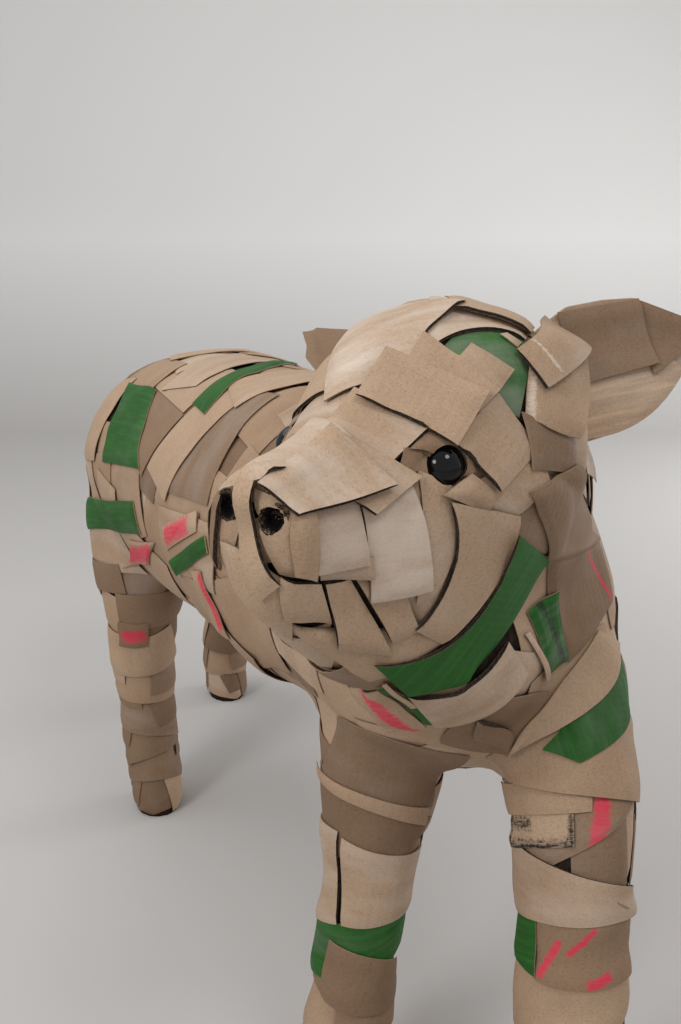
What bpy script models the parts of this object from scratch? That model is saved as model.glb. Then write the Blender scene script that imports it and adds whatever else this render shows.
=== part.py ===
"""Piglet sculpture of glued cardboard strips: its body, ears, eyes, tail and main strips.

Metres, +Z up. The piglet faces -Y, its left side is +X and its soles are at z = 0.
"""

import math

import bmesh
import bpy
import numpy as np
from mathutils import Vector
from mathutils.bvhtree import BVHTree
from mathutils.interpolate import poly_3d_calc

NOSE = Vector((-0.109, -0.293, 0.320))
HEAD_YAW = math.radians(58)
HEAD_PITCH = math.radians(-4)
EYE_RADIUS = 0.007
NOSTRIL_RADIUS = 0.0036
NOSTRIL_DEPTH = 0.007
TAIL_RADIUS = 0.0048
TAIL_CURL = 0.0105
TAIL_TURN = math.radians(330)
TAIL_STEPS = 11
EAR_THICKNESS = 0.0024
STRIP_THICKNESS = 0.0020
COVER_DEPTH = 0.003
CLEARANCE = 0.0004
SIDES = 28
BODY_DETAIL = 0.038
WALK_STEP = 0.004

KRAFT = (0.40, 0.28, 0.185)
DARK_KRAFT = (0.21, 0.13, 0.08)
GREEN = (0.026, 0.19, 0.022)
BLACK = (0.004, 0.004, 0.005)

for old in list(bpy.data.objects):
    bpy.data.objects.remove(old)


def material(name, colour, roughness):
    made = bpy.data.materials.new(name)
    made.use_nodes = True
    made.diffuse_color = (*colour, 1)
    shader = made.node_tree.nodes["Principled BSDF"]
    shader.inputs["Base Color"].default_value = (*colour, 1)
    shader.inputs["Roughness"].default_value = roughness
    shader.inputs["Metallic"].default_value = 0.0
    return made


MATERIALS = {
    "kraft": material("kraft_cardboard", KRAFT, 0.75),
    "dark": material("dark_cardboard", DARK_KRAFT, 0.8),
    "green": material("green_cardboard", GREEN, 0.45),
    "black": material("black_bead", BLACK, 0.08),
}


def smooth_rows(rows, steps):
    """Catmull-Rom samples through rows of numbers, steps of them to each span."""
    rows = [np.array(r, float) for r in rows]
    padded = [2 * rows[0] - rows[1], *rows, 2 * rows[-1] - rows[-2]]
    out = []
    for i in range(len(rows) - 1):
        p0, p1, p2, p3 = padded[i : i + 4]
        for k in range(steps):
            t = k / steps
            linear = 2 * p1 + (p2 - p0) * t
            square = (2 * p0 - 5 * p1 + 4 * p2 - p3) * t * t
            cube = (3 * p1 - p0 - 3 * p2 + p3) * t * t * t
            out.append(0.5 * (linear + square + cube))
    out.append(rows[-1])
    return out


def mesh_object(name, bm, finish=None):
    mesh = bpy.data.meshes.new(name)
    bmesh.ops.recalc_face_normals(bm, faces=bm.faces)
    bm.to_mesh(mesh)
    bm.free()
    obj = bpy.data.objects.new(name, mesh)
    if finish:
        mesh.materials.append(MATERIALS[finish])
    bpy.context.scene.collection.objects.link(obj)
    return obj


def loft(name, rings, finish=None):
    """A closed skin through rings of points, capped flat at both ends."""
    bm = bmesh.new()
    loops = [[bm.verts.new(p) for p in ring] for ring in rings]
    count = len(loops[0])
    for a, b in zip(loops, loops[1:]):
        for i in range(count):
            j = (i + 1) % count
            bm.faces.new((a[i], a[j], b[j], b[i]))
    bm.faces.new(loops[0][::-1])
    bm.faces.new(loops[-1])
    return mesh_object(name, bm, finish)


def section(centre, across, up, half_width, rise, drop, sides=SIDES):
    """A ring that is half an ellipse above its centre and half another one below it."""
    ring = []
    for i in range(sides):
        turn = 2 * math.pi * i / sides
        height = rise if math.sin(turn) > 0 else drop
        ring.append(centre + across * (math.cos(turn) * half_width) + up * (math.sin(turn) * height))
    return ring


def tube(name, rows, steps=4, sides=SIDES, finish=None):
    """A round limb through rows of (x, y, z, radius across X, radius across the path and X)."""
    samples = smooth_rows(rows, steps)
    rings = []
    for i, row in enumerate(samples):
        before, after = samples[max(i - 1, 0)], samples[min(i + 1, len(samples) - 1)]
        along = (Vector(after[:3]) - Vector(before[:3])).normalized()
        across = Vector((1, 0, 0))
        across = (across - along * across.dot(along)).normalized()
        up = along.cross(across)
        rings.append(section(Vector(row[:3]), across, up, row[3], row[4], row[4], sides))
    return loft(name, rings, finish)


def add(obj, kind, **settings):
    modifier = obj.modifiers.new(kind.title(), kind)
    for key, value in settings.items():
        setattr(modifier, key, value)
    return modifier


def settled(obj):
    """The mesh of an object with its modifiers worked out."""
    bpy.context.view_layer.update()
    return bpy.data.meshes.new_from_object(obj.evaluated_get(bpy.context.evaluated_depsgraph_get()))


def as_cutter(obj):
    obj.hide_render = True
    obj.display_type = "WIRE"
    return obj


# The head's own axes: forward, towards its left, and up.
HEAD_FORWARD = Vector(
    (
        -math.sin(HEAD_YAW) * math.cos(HEAD_PITCH),
        -math.cos(HEAD_YAW) * math.cos(HEAD_PITCH),
        math.sin(HEAD_PITCH),
    )
)
HEAD_LEFT = Vector((0, 0, 1)).cross(HEAD_FORWARD).normalized()
HEAD_UP = HEAD_FORWARD.cross(HEAD_LEFT)


def head_point(back, left, up):
    return NOSE - HEAD_FORWARD * back + HEAD_LEFT * left + HEAD_UP * up


# Distance back from the nose, height of the widest line, half width, rise above it, drop below it.
HEAD_ROWS = [
    (0.000, 0.000, 0.0165, 0.0190, 0.0210),
    (0.006, -0.001, 0.0180, 0.0205, 0.0290),
    (0.018, -0.004, 0.0210, 0.0240, 0.0400),
    (0.032, -0.007, 0.0260, 0.0290, 0.0510),
    (0.048, -0.010, 0.0325, 0.0370, 0.0590),
    (0.062, -0.010, 0.0380, 0.0490, 0.0640),
    (0.078, -0.008, 0.0450, 0.0580, 0.0665),
    (0.100, -0.004, 0.0510, 0.0590, 0.0660),
    (0.122, 0.000, 0.0520, 0.0540, 0.0630),
    (0.142, 0.000, 0.0440, 0.0440, 0.0540),
    (0.158, 0.000, 0.0220, 0.0240, 0.0280),
]

# Centre, half width, rise above it, drop below it, from the chest to the rump.
TORSO_ROWS = [
    (0.018, -0.246, 0.236, 0.028, 0.032, 0.030),
    (0.019, -0.232, 0.237, 0.054, 0.060, 0.052),
    (0.020, -0.200, 0.240, 0.072, 0.080, 0.066),
    (0.017, -0.150, 0.243, 0.077, 0.083, 0.073),
    (0.008, -0.080, 0.246, 0.079, 0.083, 0.078),
    (0.000, 0.000, 0.247, 0.083, 0.083, 0.083),
    (-0.005, 0.080, 0.248, 0.088, 0.081, 0.085),
    (-0.008, 0.140, 0.249, 0.088, 0.076, 0.080),
    (-0.007, 0.190, 0.250, 0.075, 0.065, 0.070),
    (-0.005, 0.216, 0.251, 0.050, 0.046, 0.050),
    (-0.005, 0.228, 0.251, 0.022, 0.022, 0.024),
]

# Centre, radius across X, radius across the limb and X, from the body outwards.
LIMBS = {
    "neck": [
        (0.018, -0.130, 0.258, 0.072, 0.066),
        (0.018, -0.168, 0.276, 0.066, 0.064),
        (0.012, -0.205, 0.296, 0.056, 0.058),
        (0.000, -0.230, 0.315, 0.044, 0.045),
    ],
    "throat": [
        (-0.047, -0.246, 0.294, 0.026, 0.026),
        (-0.039, -0.244, 0.271, 0.029, 0.029),
        (-0.027, -0.240, 0.254, 0.031, 0.032),
        (-0.006, -0.230, 0.249, 0.038, 0.038),
        (0.014, -0.204, 0.242, 0.050, 0.050),
    ],
    "foreleg_left": [
        (0.052, -0.186, 0.250, 0.030, 0.038),
        (0.055, -0.210, 0.217, 0.032, 0.040),
        (0.044, -0.248, 0.180, 0.0270, 0.031),
        (0.034, -0.268, 0.130, 0.0235, 0.024),
        (0.030, -0.278, 0.070, 0.0215, 0.022),
        (0.028, -0.282, 0.020, 0.0205, 0.022),
        (0.028, -0.284, -0.010, 0.0215, 0.024),
    ],
    "foreleg_right": [
        (-0.008, -0.165, 0.255, 0.036, 0.046),
        (-0.011, -0.180, 0.205, 0.0325, 0.040),
        (-0.018, -0.190, 0.165, 0.0270, 0.030),
        (-0.028, -0.197, 0.120, 0.0215, 0.023),
        (-0.035, -0.198, 0.070, 0.0190, 0.0200),
        (-0.038, -0.198, 0.020, 0.0195, 0.0210),
        (-0.038, -0.200, -0.010, 0.0205, 0.0230),
    ],
    "hindleg_right": [
        (-0.050, 0.150, 0.250, 0.038, 0.062),
        (-0.064, 0.135, 0.200, 0.034, 0.052),
        (-0.067, 0.118, 0.150, 0.0270, 0.036),
        (-0.068, 0.118, 0.100, 0.0205, 0.026),
        (-0.068, 0.108, 0.050, 0.0180, 0.0200),
        (-0.068, 0.098, 0.018, 0.0185, 0.0215),
        (-0.068, 0.094, -0.010, 0.0190, 0.0235),
    ],
    "hindleg_left": [
        (0.044, 0.160, 0.250, 0.036, 0.058),
        (0.048, 0.180, 0.200, 0.034, 0.050),
        (0.044, 0.205, 0.150, 0.0265, 0.034),
        (0.036, 0.248, 0.100, 0.0200, 0.0240),
        (0.031, 0.260, 0.050, 0.0180, 0.0190),
        (0.030, 0.257, 0.018, 0.0185, 0.0215),
        (0.030, 0.253, -0.010, 0.0190, 0.0235),
    ],
}


def head():
    rings = []
    for back, mid, wide, rise, drop in smooth_rows(HEAD_ROWS, 4):
        rings.append(section(head_point(back, 0, mid), HEAD_LEFT, HEAD_UP, wide, rise, drop))
    return loft("head", rings)


def torso():
    across, up = Vector((1, 0, 0)), Vector((0, 0, 1))
    rings = []
    for x, y, z, wide, rise, drop in smooth_rows(TORSO_ROWS, 4):
        rings.append(section(Vector((x, y, z)), across, up, wide, rise, drop))
    return loft("torso", rings)


def skin():
    """The whole piglet's smooth form, as deep inside its outline as the strips on it are high."""
    whole = torso()
    for piece in [head(), *(tube(name, rows) for name, rows in LIMBS.items())]:
        add(whole, "BOOLEAN", operation="UNION", object=piece, solver="EXACT")
        as_cutter(piece)
    add(whole, "REMESH", mode="VOXEL", voxel_size=0.0035)
    add(whole, "SMOOTH", factor=0.5, iterations=14)
    add(whole, "DISPLACE", strength=-COVER_DEPTH, mid_level=0.0)
    mesh = settled(whole)
    for piece in list(bpy.data.objects):
        bpy.data.objects.remove(piece)
    return mesh


SKIN = skin()

EYES = {"eye_left": head_point(0.063, 0.0265, 0.0080), "eye_right": head_point(0.063, -0.0265, 0.0080)}
NOSTRILS = [head_point(0.0, side * 0.0085, 0.0035) for side in (1, -1)]
TAIL_ROOT = Vector((-0.004, 0.228, 0.276))


def ball(name, centre, radius, segments, rings, finish=None):
    bm = bmesh.new()
    bmesh.ops.create_uvsphere(bm, u_segments=segments, v_segments=rings, radius=radius)
    obj = mesh_object(name, bm, finish)
    obj.location = centre
    return obj


def rod(name, start, end, radius, sides):
    """A plain round bar between two points."""
    bm = bmesh.new()
    length = (end - start).length
    bmesh.ops.create_cone(
        bm, cap_ends=True, segments=sides, radius1=radius, radius2=radius, depth=length
    )
    obj = mesh_object(name, bm)
    obj.rotation_mode = "QUATERNION"
    obj.rotation_quaternion = (end - start).to_track_quat("Z", "Y")
    obj.location = (start + end) / 2
    return obj


def floor_block():
    bm = bmesh.new()
    bmesh.ops.create_cube(bm, size=1.0)
    obj = mesh_object("floor_block", bm)
    obj.location = (0, 0, -0.5)
    return obj


def body():
    """The one shell that every strip is glued to, with its soles cut flat and its hollows sunk."""
    obj = bpy.data.objects.new("piglet_body", SKIN.copy())
    obj.data.materials.append(MATERIALS["kraft"])
    bpy.context.scene.collection.objects.link(obj)
    add(obj, "DECIMATE", ratio=BODY_DETAIL)
    cutters = [floor_block()]
    for name, centre in EYES.items():
        cutters.append(ball(name + "_socket", centre, EYE_RADIUS + CLEARANCE, 16, 10))
    for i, mouth in enumerate(NOSTRILS):
        inner = mouth - HEAD_FORWARD * (COVER_DEPTH + NOSTRIL_DEPTH)
        cutters.append(rod(f"nostril_{i}", inner, mouth + HEAD_FORWARD * 0.004, NOSTRIL_RADIUS, 10))
    socket_end = TAIL_ROOT + Vector((0, -0.012, 0))
    socket_mouth = TAIL_ROOT + Vector((0, 0.02, 0))
    cutters.append(rod("tail_socket", socket_end, socket_mouth, TAIL_RADIUS + CLEARANCE, 12))
    for cutter in cutters:
        add(obj, "BOOLEAN", operation="DIFFERENCE", object=as_cutter(cutter), solver="EXACT")
    return obj


BODY = body()
for eye, centre in EYES.items():
    ball(eye, centre, EYE_RADIUS, 14, 9, "black")


class Surface:
    """A smooth sheet or form that strips of cardboard are laid on."""

    def __init__(self, mesh):
        self.mesh = mesh
        self.tree = BVHTree.FromPolygons(
            [v.co for v in mesh.vertices], [tuple(p.vertices) for p in mesh.polygons]
        )

    def at(self, point):
        """The nearest spot on the surface and the smooth normal there."""
        spot, _, index, _ = self.tree.find_nearest(point)
        corners = [self.mesh.vertices[i] for i in self.mesh.polygons[index].vertices]
        weights = poly_3d_calc([c.co for c in corners], spot)
        normal = Vector((0, 0, 0))
        for corner, weight in zip(corners, weights):
            normal += corner.normal * weight
        return spot, normal.normalized()

    def walk(self, point, heading, distance):
        """Where a straight walk over the surface ends, and the heading and normal there."""
        steps = max(1, math.ceil(abs(distance) / WALK_STEP))
        normal = None
        for _ in range(steps):
            point, normal = self.at(point + heading * (distance / steps))
            heading = (heading - normal * heading.dot(normal)).normalized()
        return point, heading, normal

    def reach(self, start, heading, x, y):
        """The spot x along a heading and then y to its left, and the normal there."""
        point, heading, normal = self.walk(start, heading, x)
        point, _, normal = self.walk(point, normal.cross(heading), y)
        return point, normal


# For each region, rows of (measure along it, centre), its zero and quarter bearings and its heading.
LEFT = Vector((1, 0, 0))
BACK = Vector((0, 1, 0))
UP = Vector((0, 0, 1))


def region_of(rows, measure, zero, quarter, heading):
    rows = sorted((row[measure], tuple(row[:3])) for row in rows)
    return rows, zero, quarter, heading


REGIONS = {
    "head": (
        [(row[0], tuple(head_point(row[0], 0, row[1]))) for row in HEAD_ROWS],
        HEAD_UP,
        HEAD_LEFT,
        -HEAD_FORWARD,
    ),
    "torso": region_of(TORSO_ROWS, 1, UP, LEFT, BACK),
}
for limb in ("foreleg_left", "foreleg_right", "hindleg_right", "hindleg_left"):
    REGIONS[limb] = region_of(LIMBS[limb], 2, -BACK, LEFT, UP)

# How far from the snout's face and from the rump the bearings start to turn end-on.
END_CAP = {"head": (0.020, None), "torso": (-0.200, 0.170)}


def place(region, along, bearing, turn):
    """The spot on the skin at a measure along a region and a bearing round it, and a strip's heading."""
    rows, zero, quarter, heading = REGIONS[region]
    front, rear = END_CAP.get(region, (None, None))
    origin_at, tilt = along, 0.0
    if front is not None and along < front:
        origin_at, tilt = front, -(front - along) / (front - rows[0][0]) * math.pi / 2
    if rear is not None and along > rear:
        origin_at, tilt = rear, (along - rear) / (rows[-1][0] - rear) * math.pi / 2
    stations = [r[0] for r in rows]
    origin = Vector([np.interp(origin_at, stations, [r[1][k] for r in rows]) for k in range(3)])
    outward = zero * math.cos(math.radians(bearing)) + quarter * math.sin(math.radians(bearing))
    outward = outward * math.cos(tilt) + heading * math.sin(tilt)
    hit = BODY_SURFACE.tree.ray_cast(origin, outward)[0]
    spot, normal = BODY_SURFACE.at(hit)
    aim = heading - normal * heading.dot(normal)
    aim = aim.normalized()
    side = normal.cross(aim)
    turn = math.radians(turn)
    return spot, (aim * math.cos(turn) + side * math.sin(turn)).normalized()


BODY_SURFACE = Surface(SKIN)
# A sheet's facets are this long, and a share of its length longer; it is eased out this often.
CELL = 0.010
SHEET_LAYING = (0.10, 6)
WRAP_LAYING = (0.0, 1)
FINE = 3
PROBE = 0.012


def plan_point(corners, bulge, u, v):
    """A point of a four-sided outline, whose sides bow outwards by their bulge."""
    a, b, c, d = [np.array(p, float) for p in corners]
    point = a * (1 - u) * (1 - v) + b * u * (1 - v) + c * u * v + d * (1 - u) * v
    sides = [(a, b, u, 1 - v), (b, c, v, u), (c, d, u, v), (d, a, v, 1 - u)]
    for (start, end, along, near), out in zip(sides, bulge):
        way = end - start
        outward = np.array((way[1], -way[0])) / np.linalg.norm(way)
        point = point + outward * (out * 4 * along * (1 - along) * near)
    return point


def solid_sheet(name, lower, upper, finish):
    """A closed sheet between two grids of points."""
    bm = bmesh.new()
    grids = [[[bm.verts.new(p) for p in row] for row in grid] for grid in (lower, upper)]
    rows, cols = len(lower), len(lower[0])
    for grid, flip in zip(grids, (True, False)):
        for i in range(rows - 1):
            for j in range(cols - 1):
                a, b = grid[i][j], grid[i + 1][j]
                c, d = grid[i + 1][j + 1], grid[i][j + 1]
                for face in ((a, b, c), (a, c, d)):
                    bm.faces.new(face[::-1] if flip else face)
    rim = [(i, 0) for i in range(rows)] + [(rows - 1, j) for j in range(1, cols)]
    rim += [(i, cols - 1) for i in range(rows - 2, -1, -1)] + [(0, j) for j in range(cols - 2, 0, -1)]
    for (i, j), (k, m) in zip(rim, rim[1:] + rim[:1]):
        bm.faces.new((grids[0][i][j], grids[0][k][m], grids[1][k][m], grids[1][i][j]))
    return mesh_object(name, bm, finish)


def wanted_heights(spots, normals, under):
    """How high above each spot a new strip has to start to clear what is already laid there."""
    heights = np.full(spots.shape[:2], CLEARANCE)
    for i in range(spots.shape[0]):
        for j in range(spots.shape[1]):
            spot, normal = Vector(spots[i, j]), Vector(normals[i, j])
            for _, tree in under:
                hit, _, _, distance = tree.ray_cast(spot + normal * PROBE, -normal, 2 * PROBE)
                if hit is not None:
                    heights[i, j] = max(heights[i, j], PROBE - distance + CLEARANCE)
    padded = np.pad(heights, 1, mode="edge")
    shifts = [padded[1 + di : padded.shape[0] - 1 + di, 1 + dj : padded.shape[1] - 1 + dj]
              for di in (-1, 0, 1) for dj in (-1, 0, 1)]
    return np.max(shifts, axis=0)


def drape(spots, normals, wanted, easings):
    """Heights at every third spot for a stiff sheet that clears the wanted heights in between."""
    coarse_spots, coarse_normals = spots[::FINE, ::FINE], normals[::FINE, ::FINE]
    least = wanted[::FINE, ::FINE]
    heights = least.copy()
    for _ in range(easings):
        padded = np.pad(heights, 1, mode="edge")
        mean = (padded[:-2, 1:-1] + padded[2:, 1:-1] + padded[1:-1, :-2] + padded[1:-1, 2:]) / 4
        heights = np.maximum(least, 0.5 * (heights + mean))
    rows, cols = spots.shape[:2]
    for _ in range(10):
        corners = coarse_spots + coarse_normals * heights[..., None]
        for i in range(rows):
            for j in range(cols):
                a, b = min(i // FINE, heights.shape[0] - 2), min(j // FINE, heights.shape[1] - 2)
                u, v = i / FINE - a, j / FINE - b
                weights = np.array(((1 - u) * (1 - v), (1 - u) * v, u * (1 - v), u * v))
                cell = corners[a : a + 2, b : b + 2].reshape(4, 3)
                short = wanted[i, j] - (weights @ cell - spots[i, j]) @ normals[i, j]
                if short > 0:
                    raised = (short * weights / (weights @ weights)).reshape(2, 2)
                    heights[a : a + 2, b : b + 2] = np.maximum(
                        heights[a : a + 2, b : b + 2], heights[a : a + 2, b : b + 2] + raised
                    )
                    corners = coarse_spots + coarse_normals * heights[..., None]
    return coarse_spots, coarse_normals, heights


def tree_of(obj):
    bpy.context.view_layer.update()
    return BVHTree.FromObject(obj, bpy.context.evaluated_depsgraph_get())


def lay(
    name, surface, under, start, heading, corners, finish, bulge=(0, 0, 0, 0), laying=SHEET_LAYING
):
    """A strip of stiff cardboard laid on a surface, over the pieces that are already under it."""
    corners = [(x / 1000, y / 1000) for x, y in corners]
    bulge = [b / 1000 for b in bulge]
    a, b, c, d = [Vector(p) for p in corners]
    length, width = max((b - a).length, (c - d).length), max((d - a).length, (c - b).length)
    growth, easings = laying
    cell = CELL + growth * length
    rows, cols = max(2, round(length / cell)), max(1, round(width / cell))
    spots = np.zeros((rows * FINE + 1, cols * FINE + 1, 3))
    normals = np.zeros_like(spots)
    for i in range(spots.shape[0]):
        for j in range(spots.shape[1]):
            x, y = plan_point(corners, bulge, i / (rows * FINE), j / (cols * FINE))
            spot, normal = surface.reach(start, heading, x, y)
            spots[i, j], normals[i, j] = spot, normal
    wanted = wanted_heights(spots, normals, under)
    base, outward, heights = drape(spots, normals, wanted, easings)
    for lift in range(12):
        lower = base + outward * (heights + lift * 0.5 * CLEARANCE)[..., None]
        upper = lower + outward * STRIP_THICKNESS
        obj = solid_sheet(name, lower, upper, finish)
        tree = tree_of(obj)
        if not any(tree.overlap(other) for _, other in under):
            break
        bpy.data.objects.remove(obj)
    under.append((obj, tree))
    return obj


# Name, region, measure along it, bearing, turn, corners in millimetres, finish and bulge of the sides.
STRIPS = [
    ("chest_sheet_dark", "torso", -0.229, -148, 95, ((-18, -9), (15, -15), (20, 13), (-11, 5)), "dark"),
    ("neck_panel_dark", "torso", -0.224, 52, -20, ((-11, -27), (29, -12), (27, 13), (-30, 27)), "dark"),
    ("brushed_green_strip", "torso", -0.238, 52, 15, ((-4, -16), (6, -13), (9, 14), (-11, 17)), "green"),
    (
        "green_cheek_band", "head", 0.070, 139, 40,
        ((-27, -28), (49, -41), (30, 13), (-34, 5)), "green", (5, 0, -12, 0),
    ),
    (
        "throat_strip", "head", 0.090, 163, 35,
        ((-22, -20), (27, -20), (20, 0), (-23, 6)), "kraft", (3, 0, 0, 0),
    ),
    ("crown_green_patch", "head", 0.088, 41, -35, ((-6, -9), (10, -10), (17, 15), (-14, 12)), "green"),
    ("crown_strip", "head", 0.101, 27, -30, ((-19, -6), (17, 1), (19, 12), (-12, 18)), "kraft"),
    ("small_crown_panel", "head", 0.089, 35, -65, ((-9, -3), (8, -6), (9, 6), (-7, 4)), "kraft"),
    ("forehead_sheet", "head", 0.071, 4, -45, ((-14, -14), (6, -4), (21, 11), (-12, 24)), "kraft"),
    ("bridge_piece", "head", 0.050, 22, -75, ((-16, -6), (9, -6), (13, 8), (-16, 9)), "kraft"),
    ("strip_above_brow", "head", 0.075, 29, -70, ((-13, -7), (14, -3), (15, 7), (-15, 12)), "kraft"),
    ("behind_brow_panel", "head", 0.083, 82, -40, ((-22, -13), (8, -6), (15, 8), (5, 15)), "kraft"),
    ("brow_strip_left", "head", 0.080, 62, -60, ((-11, -11), (11, -10), (15, 11), (-11, 13)), "kraft"),
    ("brow_panel_left", "head", 0.065, 27, -65, ((-19, -7), (16, -8), (19, 14), (-18, 14)), "kraft"),
    ("brow_panel_right", "head", 0.065, -27, 65, ((-18, -14), (19, -14), (16, 8), (-19, 7)), "kraft"),
    ("nostril_panel", "head", 0.009, 70, -25, ((1, -13), (16, -10), (6, 10), (-13, 9)), "kraft"),
    ("snout_side_patch_left", "head", 0.019, 86, -5, ((-7, -11), (13, -11), (9, 10), (-9, 9)), "kraft"),
    ("snout_side_patch_right", "head", 0.019, -86, 5, ((-9, -10), (9, -10), (13, 11), (-7, 11)), "kraft"),
    (
        "cheek_sheet", "head", 0.038, 97, -5,
        ((-6, -16), (17, -18), (7, 16), (-12, 14)), "kraft", (0, 2, 0, 0),
    ),
    ("lip_piece_rear", "head", 0.038, 137, -5, ((6, -13), (14, -9), (2, 7), (-17, 11)), "kraft"),
    ("lip_piece_front", "head", 0.025, 143, -15, ((0, -8), (23, -10), (-4, 9), (-14, 7)), "kraft"),
    ("chin_front", "head", 0.015, 151, 20, ((-4, -21), (11, -13), (6, 5), (-8, 12)), "kraft"),
    (
        "septum_strip", "head", 0.003, 39, 10,
        ((-7, -18), (1, -16), (3, 15), (-4, 16)), "kraft", (0, -3, 0, 4),
    ),
    ("snout_top_under", "head", 0.036, 47, -60, ((-2, -10), (6, -8), (14, 12), (-16, 15)), "kraft"),
    ("snout_top_left", "head", 0.020, -4, -80, ((-6, -15), (2, -17), (6, 23), (-3, 22)), "kraft"),
    ("snout_top_panel", "head", 0.020, 34, -85, ((-10, -16), (4, -14), (14, 23), (-12, 24)), "kraft"),
    (
        "cheek_strip_left", "head", 0.062, 116, -20,
        ((-4, -24), (11, -28), (17, 24), (-11, 20)), "kraft", (0, 4, 0, -5),
    ),
    (
        "cheek_strip_right", "head", 0.062, -116, 20,
        ((-11, -20), (17, -24), (11, 28), (-4, 24)), "kraft", (0, 4, 0, -5),
    ),
    (
        "foreleg_left_band_4", "foreleg_left", 0.131, -29, -90,
        ((-34, -15), (34, -18), (34, 9), (-34, 9)), "dark",
    ),
    (
        "foreleg_left_band_3", "foreleg_left", 0.175, -21, -100,
        ((-13, -15), (30, -20), (30, 17), (-13, 13)), "dark",
    ),
    (
        "foreleg_left_patch", "foreleg_left", 0.173, -58, -65,
        ((-30, -7), (11, -7), (13, 6), (-30, 6)), "kraft",
    ),
    (
        "foreleg_left_band_2", "foreleg_left", 0.153, -34, -90,
        ((-34, -19), (36, -14), (36, 2), (-34, 13)), "kraft",
    ),
    (
        "foreleg_left_band_1", "foreleg_left", 0.200, -24, -80,
        ((-32, -5), (36, -15), (42, 16), (-34, 12)), "kraft",
    ),
    (
        "shoulder_green_patch", "torso", -0.230, 139, 175,
        ((2, -22), (13, -11), (6, 24), (-15, 31)), "green",
    ),
    (
        "chest_band", "torso", -0.231, 126, -75,
        ((-28, -5), (26, -11), (46, 6), (-28, 13)), "kraft", (1, 0, -4, 0),
    ),
    (
        "foreleg_right_green", "foreleg_right", 0.104, -30, -90,
        ((-32, -12), (30, -14), (30, 12), (-32, 8)), "green",
    ),
    (
        "foreleg_right_band_3", "foreleg_right", 0.083, -22, -100,
        ((-32, -13), (32, -10), (32, 12), (-32, 10)), "kraft",
    ),
    (
        "foreleg_right_band_2", "foreleg_right", 0.130, -30, -90,
        ((-32, -26), (30, -24), (30, 14), (-32, 16)), "kraft",
    ),
    (
        "foreleg_right_band_1", "foreleg_right", 0.180, -21, -95,
        ((-34, -14), (30, -32), (30, 14), (-34, 12)), "kraft",
    ),
    (
        "hindleg_right_band", "hindleg_right", 0.120, -40, -90,
        ((-38, -18), (36, -16), (36, 16), (-38, 14)), "kraft",
    ),
    ("rump_green_upper", "torso", 0.074, -61, 90, ((-28, -14), (28, -16), (28, 12), (-28, 10)), "green"),
    ("rump_green_lower", "torso", 0.086, -106, 0, ((-36, -11), (36, -10), (36, 11), (-36, 12)), "green"),
    ("back_green_stripe", "torso", -0.009, -18, -60, ((-30, 4), (52, 10), (60, 22), (-16, 25)), "green"),
    ("flank_sheet_right", "torso", -0.060, -92, 5, ((-40, -17), (38, -18), (40, 17), (-38, 16)), "kraft"),
    ("flank_sheet_left", "torso", -0.040, 88, -5, ((-42, -17), (40, -18), (40, 18), (-42, 16)), "kraft"),
    ("hip_sheet_left", "torso", 0.080, 80, -80, ((-36, -17), (36, -16), (34, 18), (-36, 16)), "kraft"),
    ("back_sheet", "torso", 0.120, 6, 80, ((-40, -17), (38, -17), (38, 17), (-40, 18)), "kraft"),
]


def lay_strips():
    """Every strip in the order that it is glued on, with the body first."""
    laid = [(BODY, tree_of(BODY))]
    for name, region, along, bearing, turn, corners, finish, *bulge in STRIPS:
        start, heading = place(region, along, bearing, turn)
        laying = WRAP_LAYING if "leg" in region else SHEET_LAYING
        lay(name, BODY_SURFACE, laid, start, heading, corners, finish, *bulge, laying=laying)
    return laid


LAID = lay_strips()


# Distance along an ear from its root, reach above its midline, reach below it.
EAR_ROWS = [
    (-0.008, 0.012, 0.010),
    (0.004, 0.021, 0.019),
    (0.017, 0.0270, 0.0255),
    (0.034, 0.0270, 0.0245),
    (0.049, 0.0255, 0.0205),
    (0.062, 0.0165, 0.0115),
    (0.071, 0.0095, 0.0070),
    (0.078, 0.0045, 0.0035),
]
# How far across an ear its bends are, and how far they stand towards its open side.
EAR_BENDS = [(-1.0, 0.0030), (-0.5, 0.0006), (0.0, 0.0), (0.55, 0.0008), (1.0, 0.0070)]

# Root and tip of each ear as distances back, left and up from the nose, the way that it faces as
# forward, left and up, its side, and how many of the pieces below it goes without.
EARS = {
    "ear_left": ((0.144, 0.022, 0.0186), (0.213, 0.066, 0.0250), (0.92, 0.35, 0.18), 1, 0),
    "ear_right": ((0.144, -0.034, 0.0110), (0.169, -0.105, 0.0305), (0.12, 0.18, 0.95), -1, 3),
}

# Piece of an ear, corners in millimetres along the ear and up from its midline.
EAR_PIECES = [
    ("lower_panel", ((14, -25), (48, -20), (50, -3), (22, -4))),
    ("base_panel", ((5, -19), (13, -25), (24, 7), (2, 4))),
    ("tip_panel", ((51, -5), (76, -1), (63, 15), (51, 23))),
    ("upper_panel", ((22, -4), (51, -2), (49, 25), (20, 26))),
    ("fold", ((5, -2), (28, 10), (18, 27), (-1, 15))),
]


def ear_grid(root, axis, up, facing, spread):
    grid = []
    for along, above, below in smooth_rows(EAR_ROWS, 1):
        row = []
        for across, stand in EAR_BENDS:
            reach = (above if across > 0 else below) * spread
            fullness = (above + below) / (EAR_ROWS[2][1] + EAR_ROWS[2][2])
            row.append(root + axis * along + up * (across * reach) + facing * (stand * fullness))
        grid.append(row)
    return grid


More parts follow.
